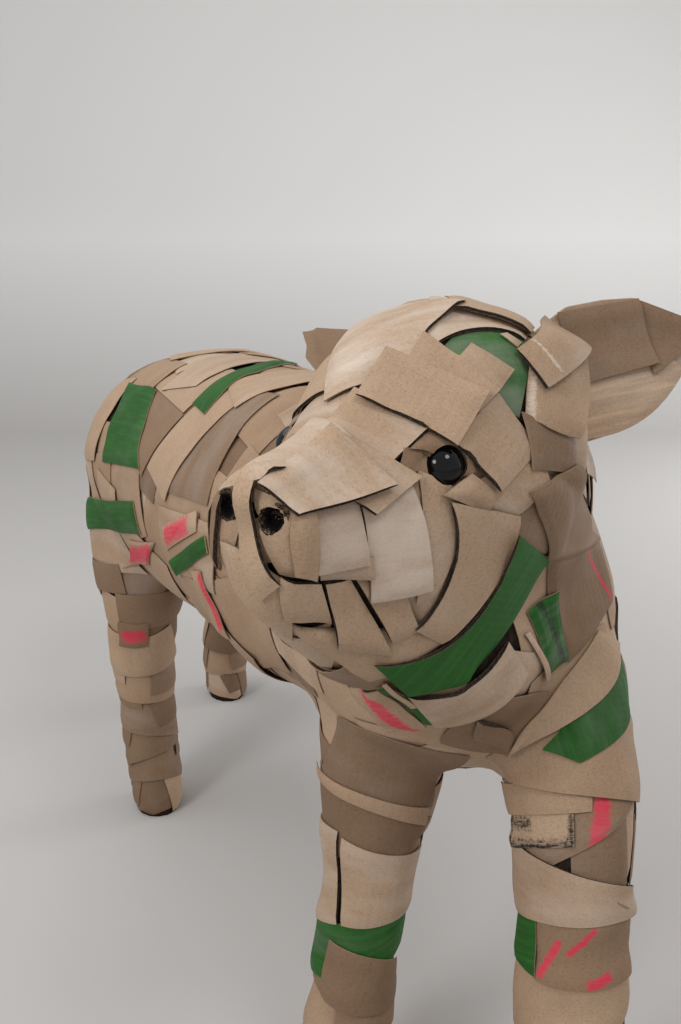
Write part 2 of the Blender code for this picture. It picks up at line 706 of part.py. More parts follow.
def sheet_surface(grid, outward):
    """A surface through a grid of points, with its normals on the outward side."""
    bm = bmesh.new()
    verts = [[bm.verts.new(p) for p in row] for row in grid]
    for a, b in zip(verts, verts[1:]):
        for j in range(len(a) - 1):
            bm.faces.new((a[j], a[j + 1], b[j + 1], b[j]))
    bm.normal_update()
    if next(iter(bm.faces)).normal.dot(outward) < 0:
        bmesh.ops.reverse_faces(bm, faces=bm.faces)
    bmesh.ops.subdivide_edges(bm, edges=bm.edges, cuts=2, use_grid_fill=True)
    bm.normal_update()
    mesh = bpy.data.meshes.new("guide")
    bm.to_mesh(mesh)
    bm.free()
    return Surface(mesh)


def trim(obj, tree, grown):
    """Cut away what an ear's piece has in common with the head and the strips on it."""
    for other, other_tree in LAID:
        if not tree.overlap(other_tree):
            continue
        if other.name not in grown:
            shape = bpy.data.objects.new(other.name + "_grown", settled(other))
            bpy.context.scene.collection.objects.link(shape)
            add(shape, "DISPLACE", strength=CLEARANCE, mid_level=0.0)
            grown[other.name] = as_cutter(shape)
        add(obj, "BOOLEAN", operation="DIFFERENCE", object=grown[other.name], solver="EXACT")


def ears():
    grown = {}
    for name, (root, tip, (forward, left, upward), side, without) in EARS.items():
        root, tip = head_point(*root), head_point(*tip)
        axis = (tip - root).normalized()
        facing = HEAD_FORWARD * forward + HEAD_LEFT * left + HEAD_UP * upward
        facing = (facing - axis * facing.dot(axis)).normalized()
        up = facing.cross(axis) * side
        front = ear_grid(root, axis, up, facing, 1.0)
        back = [[p - facing * EAR_THICKNESS for p in row] for row in front]
        leaf = solid_sheet(name, back, front, "kraft")
        pieces = [(leaf, tree_of(leaf))]
        guide = sheet_surface(ear_grid(root, axis, up, facing, 1.2), facing)
        start = guide.at(root)[0]
        for piece, corners in EAR_PIECES[without:]:
            if side < 0:
                corners = [(x, -y) for x, y in reversed(corners)]
            lay(f"{name}_{piece}", guide, pieces, start, axis, corners, "kraft")
        for made, tree in pieces:
            trim(made, tree, grown)


def tail():
    """A short tail that leaves the rump straight and then curls once."""
    curve = bpy.data.curves.new("tail", "CURVE")
    curve.dimensions = "3D"
    curve.bevel_depth = TAIL_RADIUS
    curve.bevel_resolution = 2
    curve.use_fill_caps = True
    points = [(TAIL_ROOT + Vector((0, y, 0)), 1.0) for y in (-0.010, 0.000, 0.008)]
    for i in range(1, TAIL_STEPS + 1):
        turn = TAIL_TURN * i / TAIL_STEPS
        centre = TAIL_ROOT + Vector((0.010 * i / TAIL_STEPS, 0.008, TAIL_CURL))
        swing = Vector((0, math.sin(turn), -math.cos(turn))) * TAIL_CURL
        points.append((centre + swing, 1.0 - 0.45 * i / TAIL_STEPS))
    spline = curve.splines.new("POLY")
    spline.points.add(len(points) - 1)
    for point, (place_at, thickness) in zip(spline.points, points):
        point.co = (*place_at, 1)
        point.radius = thickness
    curve.materials.append(MATERIALS["kraft"])
    obj = bpy.data.objects.new("tail", curve)
    bpy.context.scene.collection.objects.link(obj)
    return obj


ears()
tail()

# The middle of the piglet's length and width, from where it was drawn.
MIDDLE = Vector((-0.0059, -0.0164, 0.0))
for obj in bpy.data.objects:
    obj.location -= MIDDLE
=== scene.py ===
"""Looks of the cardboard piglet: every strip of board, its cut edges, the eyes, ears and nostrils.

Metres, +Z up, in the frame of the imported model. The piglet faces -Y and looks to its right.
"""

import math
import random
from types import SimpleNamespace

import bmesh
import bpy
import numpy as np
from mathutils import Matrix, Vector, noise
from mathutils.bvhtree import BVHTree
from mathutils.interpolate import poly_3d_calc
from mathutils.kdtree import KDTree


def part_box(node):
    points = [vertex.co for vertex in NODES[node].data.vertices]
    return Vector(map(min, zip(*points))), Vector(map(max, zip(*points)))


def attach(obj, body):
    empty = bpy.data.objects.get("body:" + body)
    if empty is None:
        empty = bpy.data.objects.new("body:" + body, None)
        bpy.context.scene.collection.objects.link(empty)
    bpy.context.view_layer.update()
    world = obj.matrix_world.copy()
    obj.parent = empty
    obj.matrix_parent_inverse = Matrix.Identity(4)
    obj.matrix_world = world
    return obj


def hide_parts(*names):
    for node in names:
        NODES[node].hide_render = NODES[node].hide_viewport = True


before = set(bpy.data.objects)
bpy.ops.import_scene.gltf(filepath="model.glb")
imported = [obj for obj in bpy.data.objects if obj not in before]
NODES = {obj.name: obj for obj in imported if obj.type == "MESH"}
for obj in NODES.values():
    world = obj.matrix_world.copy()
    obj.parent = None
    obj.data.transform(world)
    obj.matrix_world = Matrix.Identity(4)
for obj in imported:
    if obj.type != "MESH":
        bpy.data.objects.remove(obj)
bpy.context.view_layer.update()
LEFT, BACK, UP = Vector((1, 0, 0)), Vector((0, 1, 0)), Vector((0, 0, 1))

# The camera, on the photograph's frame of 681 by 1024 pixels.
FRAME_WIDE, FRAME_HIGH = 681, 1024
CAMERA_AT = Vector((-0.1821, -0.5436, 0.4040))
CAMERA_TURN = math.radians(-22.1)
CAMERA_DIP = math.radians(15.5)
FOCAL_PIXELS = 995.0
SENSOR = 36.0
CLIP_START = 0.01

# The board, and how finely it is modelled.
BOARD = 0.0017
THIN_BOARD = 0.0011
LINER = 0.00035
CORE_INSET = 0.00045
PRESSED = 0.35
PRESS_REACH = 0.004
GAP = 0.0003
CELL = 0.0026
STEP = 0.003
VOXEL = 0.003
SMOOTHING = 12
SOLE_CLEAR = 0.0012

# How far off a board of each kind looks for what it lies on.
FLAT_REACH = 0.022
DRAPED_REACH = 0.045
BENT_REACH = 0.010

SEED = 7

CHANCE = random.Random(SEED)


def centre_of(node):
    low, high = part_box(node)
    return (low + high) / 2


def linked(name, data):
    """A new object of the scene."""
    obj = bpy.data.objects.new(name, data)
    bpy.context.scene.collection.objects.link(obj)
    return obj


# The head's own axes, read from the eyes: towards its left, forward and up.
EYES = {name: centre_of(name) for name in ("eye_left", "eye_right")}
EYE_RADIUS = (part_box("eye_left")[1].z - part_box("eye_left")[0].z) / 2
HEAD_LEFT = (EYES["eye_left"] - EYES["eye_right"]).normalized()
HEAD_PITCH = math.radians(-4)
LEVEL = HEAD_LEFT.cross(UP).normalized()
HEAD_FORWARD = LEVEL * math.cos(HEAD_PITCH) + UP * math.sin(HEAD_PITCH)
HEAD_UP = HEAD_FORWARD.cross(HEAD_LEFT)
EYE_BACK, EYE_UP = 0.063, 0.008
NOSE = (EYES["eye_left"] + EYES["eye_right"]) / 2 + HEAD_FORWARD * EYE_BACK - HEAD_UP * EYE_UP


def head_point(back, left, up):
    return NOSE - HEAD_FORWARD * back + HEAD_LEFT * left + HEAD_UP * up


# The solid's nostrils on the left and the right, and the torn ones of the boards over them.
NOSTRILS = {1: head_point(0, 0.0085, 0.0035), -1: head_point(0, -0.0085, 0.0035)}
TORN_NOSTRILS = {1: head_point(0.004, 0.0086, 0.0058), -1: head_point(0.004, -0.0070, 0.0074)}


def look():
    """The direction that the camera looks in, and its right and up."""
    ahead = Vector(
        (
            -math.sin(CAMERA_TURN) * math.cos(CAMERA_DIP),
            math.cos(CAMERA_TURN) * math.cos(CAMERA_DIP),
            -math.sin(CAMERA_DIP),
        )
    )
    right = ahead.cross(UP).normalized()
    return ahead, right, right.cross(ahead)


AHEAD, RIGHT, ABOVE = look()


def sight(pixel):
    """The direction from the camera through a pixel of the photograph."""
    x, y = pixel
    across, rise = (x - FRAME_WIDE / 2) / FOCAL_PIXELS, (FRAME_HIGH / 2 - y) / FOCAL_PIXELS
    return (AHEAD + RIGHT * across + ABOVE * rise).normalized()


def camera():
    data = bpy.data.cameras.new("camera")
    data.lens = FOCAL_PIXELS / FRAME_HIGH * SENSOR
    data.sensor_width = SENSOR
    data.clip_start = CLIP_START
    obj = linked("camera", data)
    obj.matrix_world = Matrix((RIGHT, ABOVE, -AHEAD)).transposed().to_4x4()
    obj.location = CAMERA_AT
    bpy.context.scene.camera = obj


camera()


class Surface:
    """A smooth form that board is laid on."""

    def __init__(self, bm):
        bmesh.ops.triangulate(bm, faces=bm.faces)
        bm.normal_update()
        self.points = [v.co.copy() for v in bm.verts]
        self.normals = [v.normal.copy() for v in bm.verts]
        self.faces = [tuple(v.index for v in f.verts) for f in bm.faces]
        self.tree = BVHTree.FromPolygons(self.points, self.faces)

    def normal_at(self, index, spot):
        corners = self.faces[index]
        weights = poly_3d_calc([self.points[i] for i in corners], spot)
        normal = Vector((0, 0, 0))
        for i, weight in zip(corners, weights):
            normal += self.normals[i] * weight
        return normal.normalized()

    def at(self, point):
        """The nearest spot on the surface and the smooth normal there."""
        spot, _, index, _ = self.tree.find_nearest(point)
        return spot, self.normal_at(index, spot)

    def seen(self, origin, direction):
        """The first spot that a ray meets and the smooth normal there, or None."""
        spot, _, index, _ = self.tree.ray_cast(origin, direction)
        return None if spot is None else (spot, self.normal_at(index, spot))


def cleaned(node):
    """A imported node's mesh with its split corners joined again."""
    bm = bmesh.new()
    bm.from_mesh(NODES[node].data)
    bmesh.ops.remove_doubles(bm, verts=bm.verts, dist=1e-5)
    return bm


def settle(bm, *modifiers):
    """A mesh after some modifiers, each given as its type and settings."""
    mesh = bpy.data.meshes.new("work")
    bm.to_mesh(mesh)
    bm.free()
    obj = linked("work", mesh)
    for kind, settings in modifiers:
        modifier = obj.modifiers.new(kind.title(), kind)
        for key, value in settings.items():
            setattr(modifier, key, value)
    bpy.context.view_layer.update()
    made = bpy.data.meshes.new_from_object(obj.evaluated_get(bpy.context.evaluated_depsgraph_get()))
    bpy.data.objects.remove(obj)
    out = bmesh.new()
    out.from_mesh(made)
    bpy.data.meshes.remove(made)
    return out


# The hollows of the solid that the smooth form fills: how wide they are and how deep they go.
EYE_HOLLOW = EYE_RADIUS * 1.12
NOSTRIL_HOLLOW = 0.0045
NOSTRIL_DEPTHS = (0.004, 0.008, 0.011)
TAIL_HOLLOW = 0.0062
TAIL_DEPTHS = (-0.011, -0.006, -0.001)


def form():
    """The body's smooth form, with the hollows for the eyes, the nostrils and the tail filled."""
    bm = cleaned("piglet_body")
    hollows = [(spot, EYE_HOLLOW) for spot in EYES.values()]
    for spot in NOSTRILS.values():
        hollows += [(spot - HEAD_FORWARD * depth, NOSTRIL_HOLLOW) for depth in NOSTRIL_DEPTHS]
    hollows += [(TAIL_ROOT + BACK * depth, TAIL_HOLLOW) for depth in TAIL_DEPTHS]
    inside = [
        f for f in bm.faces if any((f.calc_center_median() - spot).length < reach for spot, reach in hollows)
    ]
    bmesh.ops.delete(bm, geom=inside, context="FACES")
    bmesh.ops.holes_fill(bm, edges=[e for e in bm.edges if e.is_boundary], sides=0)
    return Surface(
        settle(
            bm,
            ("REMESH", {"mode": "VOXEL", "voxel_size": VOXEL}),
            ("SMOOTH", {"factor": 0.5, "iterations": SMOOTHING}),
        )
    )


# The tail's root, from the middle, the front and the bottom of the tail's box.
ROOT_ASIDE, ROOT_BACK, ROOT_UP = -0.004, 0.010, 0.005


def tail_root():
    low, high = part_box("tail")
    return Vector(((low.x + high.x) / 2 + ROOT_ASIDE, low.y + ROOT_BACK, low.z + ROOT_UP))


TAIL_ROOT = tail_root()
FORM = form()


# The regions' middle lines as they were drawn, before the piglet was centred on its frame.
CENTRED = Vector((0.0059, 0.0164, 0.0))
AXES = {
    "torso": [
        (0.018, -0.246, 0.236),
        (0.019, -0.232, 0.237),
        (0.020, -0.200, 0.240),
        (0.017, -0.150, 0.243),
        (0.008, -0.080, 0.246),
        (0.000, 0.000, 0.247),
        (-0.005, 0.080, 0.248),
        (-0.008, 0.140, 0.249),
        (-0.007, 0.190, 0.250),
        (-0.005, 0.228, 0.251),
    ],
    "foreleg_left": [
        (0.055, -0.210, 0.217),
        (0.044, -0.248, 0.180),
        (0.034, -0.268, 0.130),
        (0.030, -0.278, 0.070),
        (0.028, -0.284, 0.000),
    ],
    "foreleg_right": [
        (-0.011, -0.180, 0.205),
        (-0.018, -0.190, 0.165),
        (-0.028, -0.197, 0.120),
        (-0.035, -0.198, 0.070),
        (-0.038, -0.200, 0.000),
    ],
    "hindleg_right": [
        (-0.064, 0.135, 0.200),
        (-0.067, 0.118, 0.150),
        (-0.068, 0.118, 0.100),
        (-0.068, 0.108, 0.050),
        (-0.068, 0.094, 0.000),
    ],
    "hindleg_left": [
        (0.048, 0.180, 0.200),
        (0.044, 0.205, 0.150),
        (0.036, 0.248, 0.100),
        (0.031, 0.260, 0.050),
        (0.030, 0.253, 0.000),
    ],
}
HEAD_STATIONS = (0.0, 0.032, 0.062, 0.100, 0.142, 0.158)
HEAD_MIDDLES = (0.0, -0.007, -0.010, -0.004, 0.0, 0.0)

# Where the rounded ends of the torso and the head begin, by the same measure as the stations.
TORSO_ENDS = (-0.200, 0.170)
HEAD_FRONT = 0.020


def regions():
    """For each region: stations, middle line, zero and quarter bearings, heading, end-on limits."""
    found = {}
    for name, line in AXES.items():
        measure = 1 if name == "torso" else 2
        line = sorted(line, key=lambda point: point[measure])
        stations = [point[measure] for point in line]
        middles = [Vector(point) + CENTRED for point in line]
        if name == "torso":
            found[name] = (stations, middles, UP, LEFT, BACK, *TORSO_ENDS)
        else:
            found[name] = (stations, middles, -BACK, LEFT, UP, None, None)
    middles = [head_point(back, 0, up) for back, up in zip(HEAD_STATIONS, HEAD_MIDDLES)]
    found["head"] = (list(HEAD_STATIONS), middles, HEAD_UP, HEAD_LEFT, -HEAD_FORWARD, HEAD_FRONT, None)
    return found


REGIONS = regions()


def place(region, along, bearing, turn):
    """The spot at a measure along a region and a bearing round it, and a heading there."""
    stations, middles, zero, quarter, heading, front, rear = REGIONS[region]
    origin_at, tilt = along, 0.0
    if front is not None and along < front:
        origin_at, tilt = front, -(front - along) / (front - stations[0]) * math.pi / 2
    if rear is not None and along > rear:
        origin_at, tilt = rear, (along - rear) / (stations[-1] - rear) * math.pi / 2
    origin = Vector([np.interp(origin_at, stations, [m[k] for m in middles]) for k in range(3)])
    outward = zero * math.cos(math.radians(bearing)) + quarter * math.sin(math.radians(bearing))
    outward = outward * math.cos(tilt) + heading * math.sin(tilt)
    spot, normal = FORM.seen(origin, outward)
    return spot, turned(heading, normal, turn)


def turned(heading, normal, turn):
    """A heading laid flat on the surface and turned by some degrees to its left."""
    aim = (heading - normal * heading.dot(normal)).normalized()
    side = normal.cross(aim)
    turn = math.radians(turn)
    return (aim * math.cos(turn) + side * math.sin(turn)).normalized()


def stride(spot, way, distance):
    """One short step over the form, with the heading turned along."""
    spot, normal = FORM.at(spot + way * distance)
    return spot, (way - normal * way.dot(normal)).normalized(), normal


class Chart:
    """A net of spots walked out over the form, STEP apart, read by distance along and across."""

    def __init__(self, start, way, x_range, y_range):
        self.first = [min(0, math.floor(low / STEP)) for low, _ in (x_range, y_range)]
        self.last = [max(0, math.ceil(high / STEP)) for _, high in (x_range, y_range)]
        shape = [last - first + 1 for first, last in zip(self.first, self.last)]
        self.spots, self.normals = np.zeros((*shape, 3)), np.zeros((*shape, 3))
        start, normal = FORM.at(start)
        for i, at, ahead, up in self.path(start, way, normal, 0):
            for j, spot, _, out in self.path(at, up.cross(ahead), up, 1):
                self.spots[i - self.first[0], j - self.first[1]] = spot
                self.normals[i - self.first[0], j - self.first[1]] = out

    def path(self, spot, way, normal, axis):
        yield 0, spot, way, normal
        for sign, count in ((1, self.last[axis]), (-1, -self.first[axis])):
            at, ahead = spot, way
            for k in range(1, count + 1):
                at, ahead, up = stride(at, ahead, sign * STEP)
                yield sign * k, at, ahead, up

    def read(self, x, y):
        u, v = x / STEP - self.first[0], y / STEP - self.first[1]
        i = np.clip(np.floor(u).astype(int), 0, self.spots.shape[0] - 2)
        j = np.clip(np.floor(v).astype(int), 0, self.spots.shape[1] - 2)
        u, v = (u - i)[..., None], (v - j)[..., None]
        out = []
        for net in (self.spots, self.normals):
            near = net[i, j] * (1 - v) + net[i, j + 1] * v
            far = net[i + 1, j] * (1 - v) + net[i + 1, j + 1] * v
            out.append(near * (1 - u) + far * u)
        return out[0], unit(out[1])


def unit(vectors):
    return vectors / np.linalg.norm(vectors, axis=-1, keepdims=True)


def plan_of(corners, bulge, cell):
    """The x and y of a net over a four-sided outline, whose sides bow outwards by their bulge."""
    a, b, c, d = (np.array(corner, float) for corner in corners)
    length = max(np.linalg.norm(b - a), np.linalg.norm(c - d))
    width = max(np.linalg.norm(d - a), np.linalg.norm(c - b))
    rows, cols = max(3, round(length / cell)), max(3, round(width / cell))
    u = np.linspace(0, 1, rows + 1)[:, None, None]
    v = np.linspace(0, 1, cols + 1)[None, :, None]
    net = a * (1 - u) * (1 - v) + b * u * (1 - v) + c * u * v + d * (1 - u) * v
    sides = [(a, b, u, 1 - v), (b, c, v, u), (c, d, 1 - u, v), (d, a, 1 - v, 1 - u)]
    for (start, end, along, near), out in zip(sides, bulge):
        way = end - start
        outward = np.array((way[1], -way[0])) / np.linalg.norm(way)
        net = net + outward * (out * 4 * along * (1 - along) * near)
    return net[..., 0], net[..., 1]


# The boards laid so far, each as the tree of its upper face with its lowest and highest corners.
LAID = []

# A flat board lies above this share of what is under it, in percent.
RESTS_ABOVE = 92

# A lifted corner bends the board over this share of its sides.
LIFT_REACH = 0.75


def laid_near(net, reach):
    """The trees of the boards whose boxes come near a net of points."""
    low, high = net.reshape(-1, 3).min(0) - reach, net.reshape(-1, 3).max(0) + reach
    return [tree for tree, lowest, highest in LAID if (lowest < high).all() and (highest > low).all()]


def heights_over(net, normals, reach, depth):
    """How far out along its normal each point of a net meets what is laid there, or NaN."""
    trees = laid_near(net, reach)
    heights = np.full(net.shape[:2], np.nan)
    for index in np.ndindex(*net.shape[:2]):
        outward = Vector(normals[index])
        start = Vector(net[index]) + outward * reach
        for tree in trees:
            hit, facing, _, distance = tree.ray_cast(start, -outward, reach + depth)
            if hit is not None and facing.dot(outward) > 0:
                heights[index] = np.fmax(heights[index], reach - distance)
    return heights


def around(net):
    """The eight neighbours of each point of a net and itself, with the border repeated."""
    padded = np.pad(net, 1, mode="edge")
    rows, cols = net.shape
    return [padded[1 + i : 1 + i + rows, 1 + j : 1 + j + cols] for i in (-1, 0, 1) for j in (-1, 0, 1)]


def eased(wanted, times):
    """Heights that clear the wanted ones and run out softly round them, as stiff board does."""
    least = np.max(around(wanted), axis=0)
    heights = least.copy()
    for _ in range(times):
        heights = np.maximum(least, np.mean(around(heights), axis=0))
    for _ in range(2):
        heights = np.mean(around(heights), axis=0)
    return np.maximum(heights, wanted)


def board_fit(wanted, x, y, keep_bend, keep_twist):
    """Heights of a board that rests on the wanted heights and bends mainly one way."""
    known = ~np.isnan(wanted)
    if not known.any():
        return np.zeros_like(x)
    terms = np.stack([np.ones_like(x), x, y, x * x, x * y, y * y], axis=-1)
    c = np.linalg.lstsq(terms[known], wanted[known], rcond=None)[0]
    values, ways = np.linalg.eigh(np.array(((c[3], c[4] / 2), (c[4] / 2, c[5]))))
    main = int(abs(values[1]) > abs(values[0]))
    values = values * np.where(np.arange(2) == main, keep_bend, keep_twist)
    bent = sum(value * (x * way[0] + y * way[1]) ** 2 for value, way in zip(values, ways.T))
    flat = np.linalg.lstsq(terms[known][:, :3], (wanted - bent)[known], rcond=None)[0]
    made = bent + terms[..., :3] @ flat
    return made + np.percentile((wanted - made)[known], RESTS_ABOVE)


def lifted(heights, corners_up):
    """Heights with the four corners bent up by some distances."""
    rows, cols = heights.shape
    u, v = np.linspace(0, 1, rows)[:, None], np.linspace(0, 1, cols)[None, :]
    for (cu, cv), up in zip(((0, 0), (1, 0), (1, 1), (0, 1)), corners_up):
        near = np.clip(1 - np.hypot(u - cu, v - cv) / LIFT_REACH, 0, 1)
        heights = heights + up * near * near
    return heights


# The boards' finishes and the material of their cut edges, in the order of a mesh's face kinds.
FINISHES = (
    "kraft",
    "brown",
    "green",
    "kraft_pink",
    "brown_pink",
    "kraft_ink",
    "green_ink",
    "kraft_pale",
    "kraft_worn",
    "torn",
    "edge",
)
SLOTS = {
    "kraft": "kraft_cardboard",
    "brown": "dark_cardboard",
    "green": "green_cardboard",
    "torn": "dark_cardboard",
}


def style(finish="kraft", **extra):
    """How one board is cut, laid and finished.

    Its sides are s, e, n and w, from the first corner on. Light runs from 0, its palest tone, to 1, and
    gloss is its dry glue, which is glossier and veiled whitish as a partly painted sheen; where they are
    None, chance deals them. Open sides show the core, lift bends the corners up, grow adds millimetres to
    a side, and mids are pixels that the sides pass through. Marks run from one spot to another at a width
    in millimetres: brushed paint and ink, or a painted highlight along the ear's fold. Bend and twist say
    how much of the form's bends a flat board takes on, and ease how softly it runs over what lies under
    it. A whole board has no openings, and a fine one has its liners modelled.
    """
    made = SimpleNamespace(
        finish=finish,
        light=None,
        gloss=None,
        open="",
        thick=BOARD,
        lift=(0, 0, 0, 0),
        marks=(),
        bend=1.0,
        twist=0.3,
        ease=8,
        whole=False,
        fine=True,
        cell=CELL,
        mids=(None, None, None, None),
        grow={},
    )
    unknown = set(extra) - set(vars(made))
    if unknown:
        raise ValueError(f"no such style: {unknown}")
    vars(made).update(extra)
    return made


# Faces that meet at more than this are shaded with a crease.
SHARP_FROM = math.radians(40)


class Piece:
    """One named mesh made of boards."""

    def __init__(self, name, finish="kraft", replaced=()):
        self.name, self.slot, self.replaced = name, SLOTS[finish.split("_")[0]], replaced
        self.parts, self.count = [], 0

    def add(self, points, quads, *rest):
        """Add a board: points, faces, the faces' kinds, their plans, the points' tones and the cuts."""
        self.parts.append((points, quads + self.count, *rest))
        self.count += len(points)

    def build(self):
        points, quads, kinds, plans, tones, cuts = (np.concatenate(part) for part in zip(*self.parts))
        used = sorted(set(kinds.tolist()))
        mesh = bpy.data.meshes.new(self.name)
        mesh.vertices.add(len(points))
        mesh.vertices.foreach_set("co", points.astype(np.float32).ravel())
        mesh.loops.add(quads.size)
        mesh.loops.foreach_set("vertex_index", quads.astype(np.int32).ravel())
        mesh.polygons.add(len(quads))
        mesh.polygons.foreach_set("loop_start", np.arange(0, quads.size, 4, dtype=np.int32))
        mesh.polygons.foreach_set("material_index", np.searchsorted(used, kinds).astype(np.int32))
        for kind in used:
            mesh.materials.append(MATERIALS[FINISHES[kind]])
        plan = mesh.uv_layers.new(name="plan")
        plan.data.foreach_set("uv", plans.astype(np.float32).ravel())
        tone = mesh.attributes.new("tone", "FLOAT_COLOR", "POINT")
        tone.data.foreach_set("color", tones.astype(np.float32).ravel())
        cut = mesh.attributes.new("cut", "FLOAT", "FACE")
        cut.data.foreach_set("value", cuts.astype(np.float32))
        mesh.update(calc_edges=True)
        mesh.shade_smooth()
        mesh.set_sharp_from_angle(angle=SHARP_FROM)
        obj = linked(self.name, mesh)
        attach(obj, "root")
        if self.replaced:
            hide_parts(*self.replaced)


# The way that each bead faces, how far it stands out of its node, and how much of it the boards hold.
EYE_OUT = {name: FORM.at(centre)[1] for name, centre in EYES.items()}
EYE_PROUD = 0.0040
EYE_HELD = 0.0006

# Round openings that the boards leave: middle, axis, radius and how ragged the rim is.
NOSTRIL_OPENING = 0.0040
NOSTRIL_RAG = 0.07
OPENINGS = [(EYES[name], EYE_OUT[name], EYE_RADIUS - EYE_HELD, 0.0) for name in EYES]
OPENINGS += [(spot, HEAD_FORWARD, NOSTRIL_OPENING, NOSTRIL_RAG) for spot in TORN_NOSTRILS.values()]
OPENING_DEPTH = 0.012


def side_distances(x, y):
    """How far each point of a net is from the board's four sides, in its plan."""
    return {
        "s": np.hypot(x - x[:, :1], y - y[:, :1]),
        "e": np.hypot(x - x[-1:, :], y - y[-1:, :]),
        "n": np.hypot(x - x[:, -1:], y - y[:, -1:]),
        "w": np.hypot(x - x[:1, :], y - y[:1, :]),
    }


def opened(lower, upper, face):
    """Which faces stay clear of the openings, once those around them are drawn up to the rims."""
    keep = np.ones(len(face), bool)
    for middle, axis, radius, rag in OPENINGS:
        middle, axis = np.array(middle), np.array(axis)
        centres = upper[face].mean(axis=1) - middle
        along = centres @ axis
        away = np.linalg.norm(centres - along[:, None] * axis, axis=1)
        out = (away < radius) & (abs(along) < OPENING_DEPTH)
        if not out.any():
            continue
        keep &= ~out
        rim = np.intersect1d(face[out], face[keep])
        for net in (lower, upper):
            off = net[rim] - middle
            along = (off @ axis)[:, None] * axis
            across = off - along
            ragged = radius * (1 + rag * np.array([CHANCE.uniform(-1, 1) for _ in rim]))
            net[rim] = middle + along + unit(across) * ragged[:, None]
    return keep


def largest(keep, shape):
    """The kept faces of a net that hang together in the largest patch."""
    rows, cols = shape[0] - 1, shape[1] - 1
    left = set(np.flatnonzero(keep).tolist())
    best = []
    while left:
        patch, front = [], [left.pop()]
        while front:
            at = front.pop()
            patch.append(at)
            i, j = divmod(at, cols)
            for k, l in ((i - 1, j), (i + 1, j), (i, j - 1), (i, j + 1)):
                if 0 <= k < rows and 0 <= l < cols and k * cols + l in left:
                    left.remove(k * cols + l)
                    front.append(k * cols + l)
        best = max(best, patch, key=len)
    kept = np.zeros(len(keep), bool)
    kept[best] = True
    return kept


# How far out of a mark's outline a spot is taken to be at most, in half widths of the mark.
UNMARKED = 4.0


def painted(x, y, marks):
    """How far along the nearest brushed mark each point of a net is, and how far out of its outline."""
    along, nearest = np.zeros(x.shape), np.full(x.shape, UNMARKED)
    for (x0, y0), (x1, y1), width in marks:
        length = math.hypot(x1 - x0, y1 - y0)
        ux, uy = (x1 - x0) / length, (y1 - y0) / length
        s = ((x - x0) * ux + (y - y0) * uy) / length
        t = ((y - y0) * ux - (x - x0) * uy) / (width / 2)
        beyond = np.maximum(np.maximum(-s, s - 1) * length / (width / 2) + 1, 0)
        away = np.maximum(abs(t), beyond)
        along = np.where(away < nearest, s, along)
        nearest = np.minimum(nearest, away)
    return along, nearest


# The share of a plain board that dry glue covers at most; the glue is glossier, and its whitish veil is
# partly a painted sheen.
MOST_GLOSS = 0.6


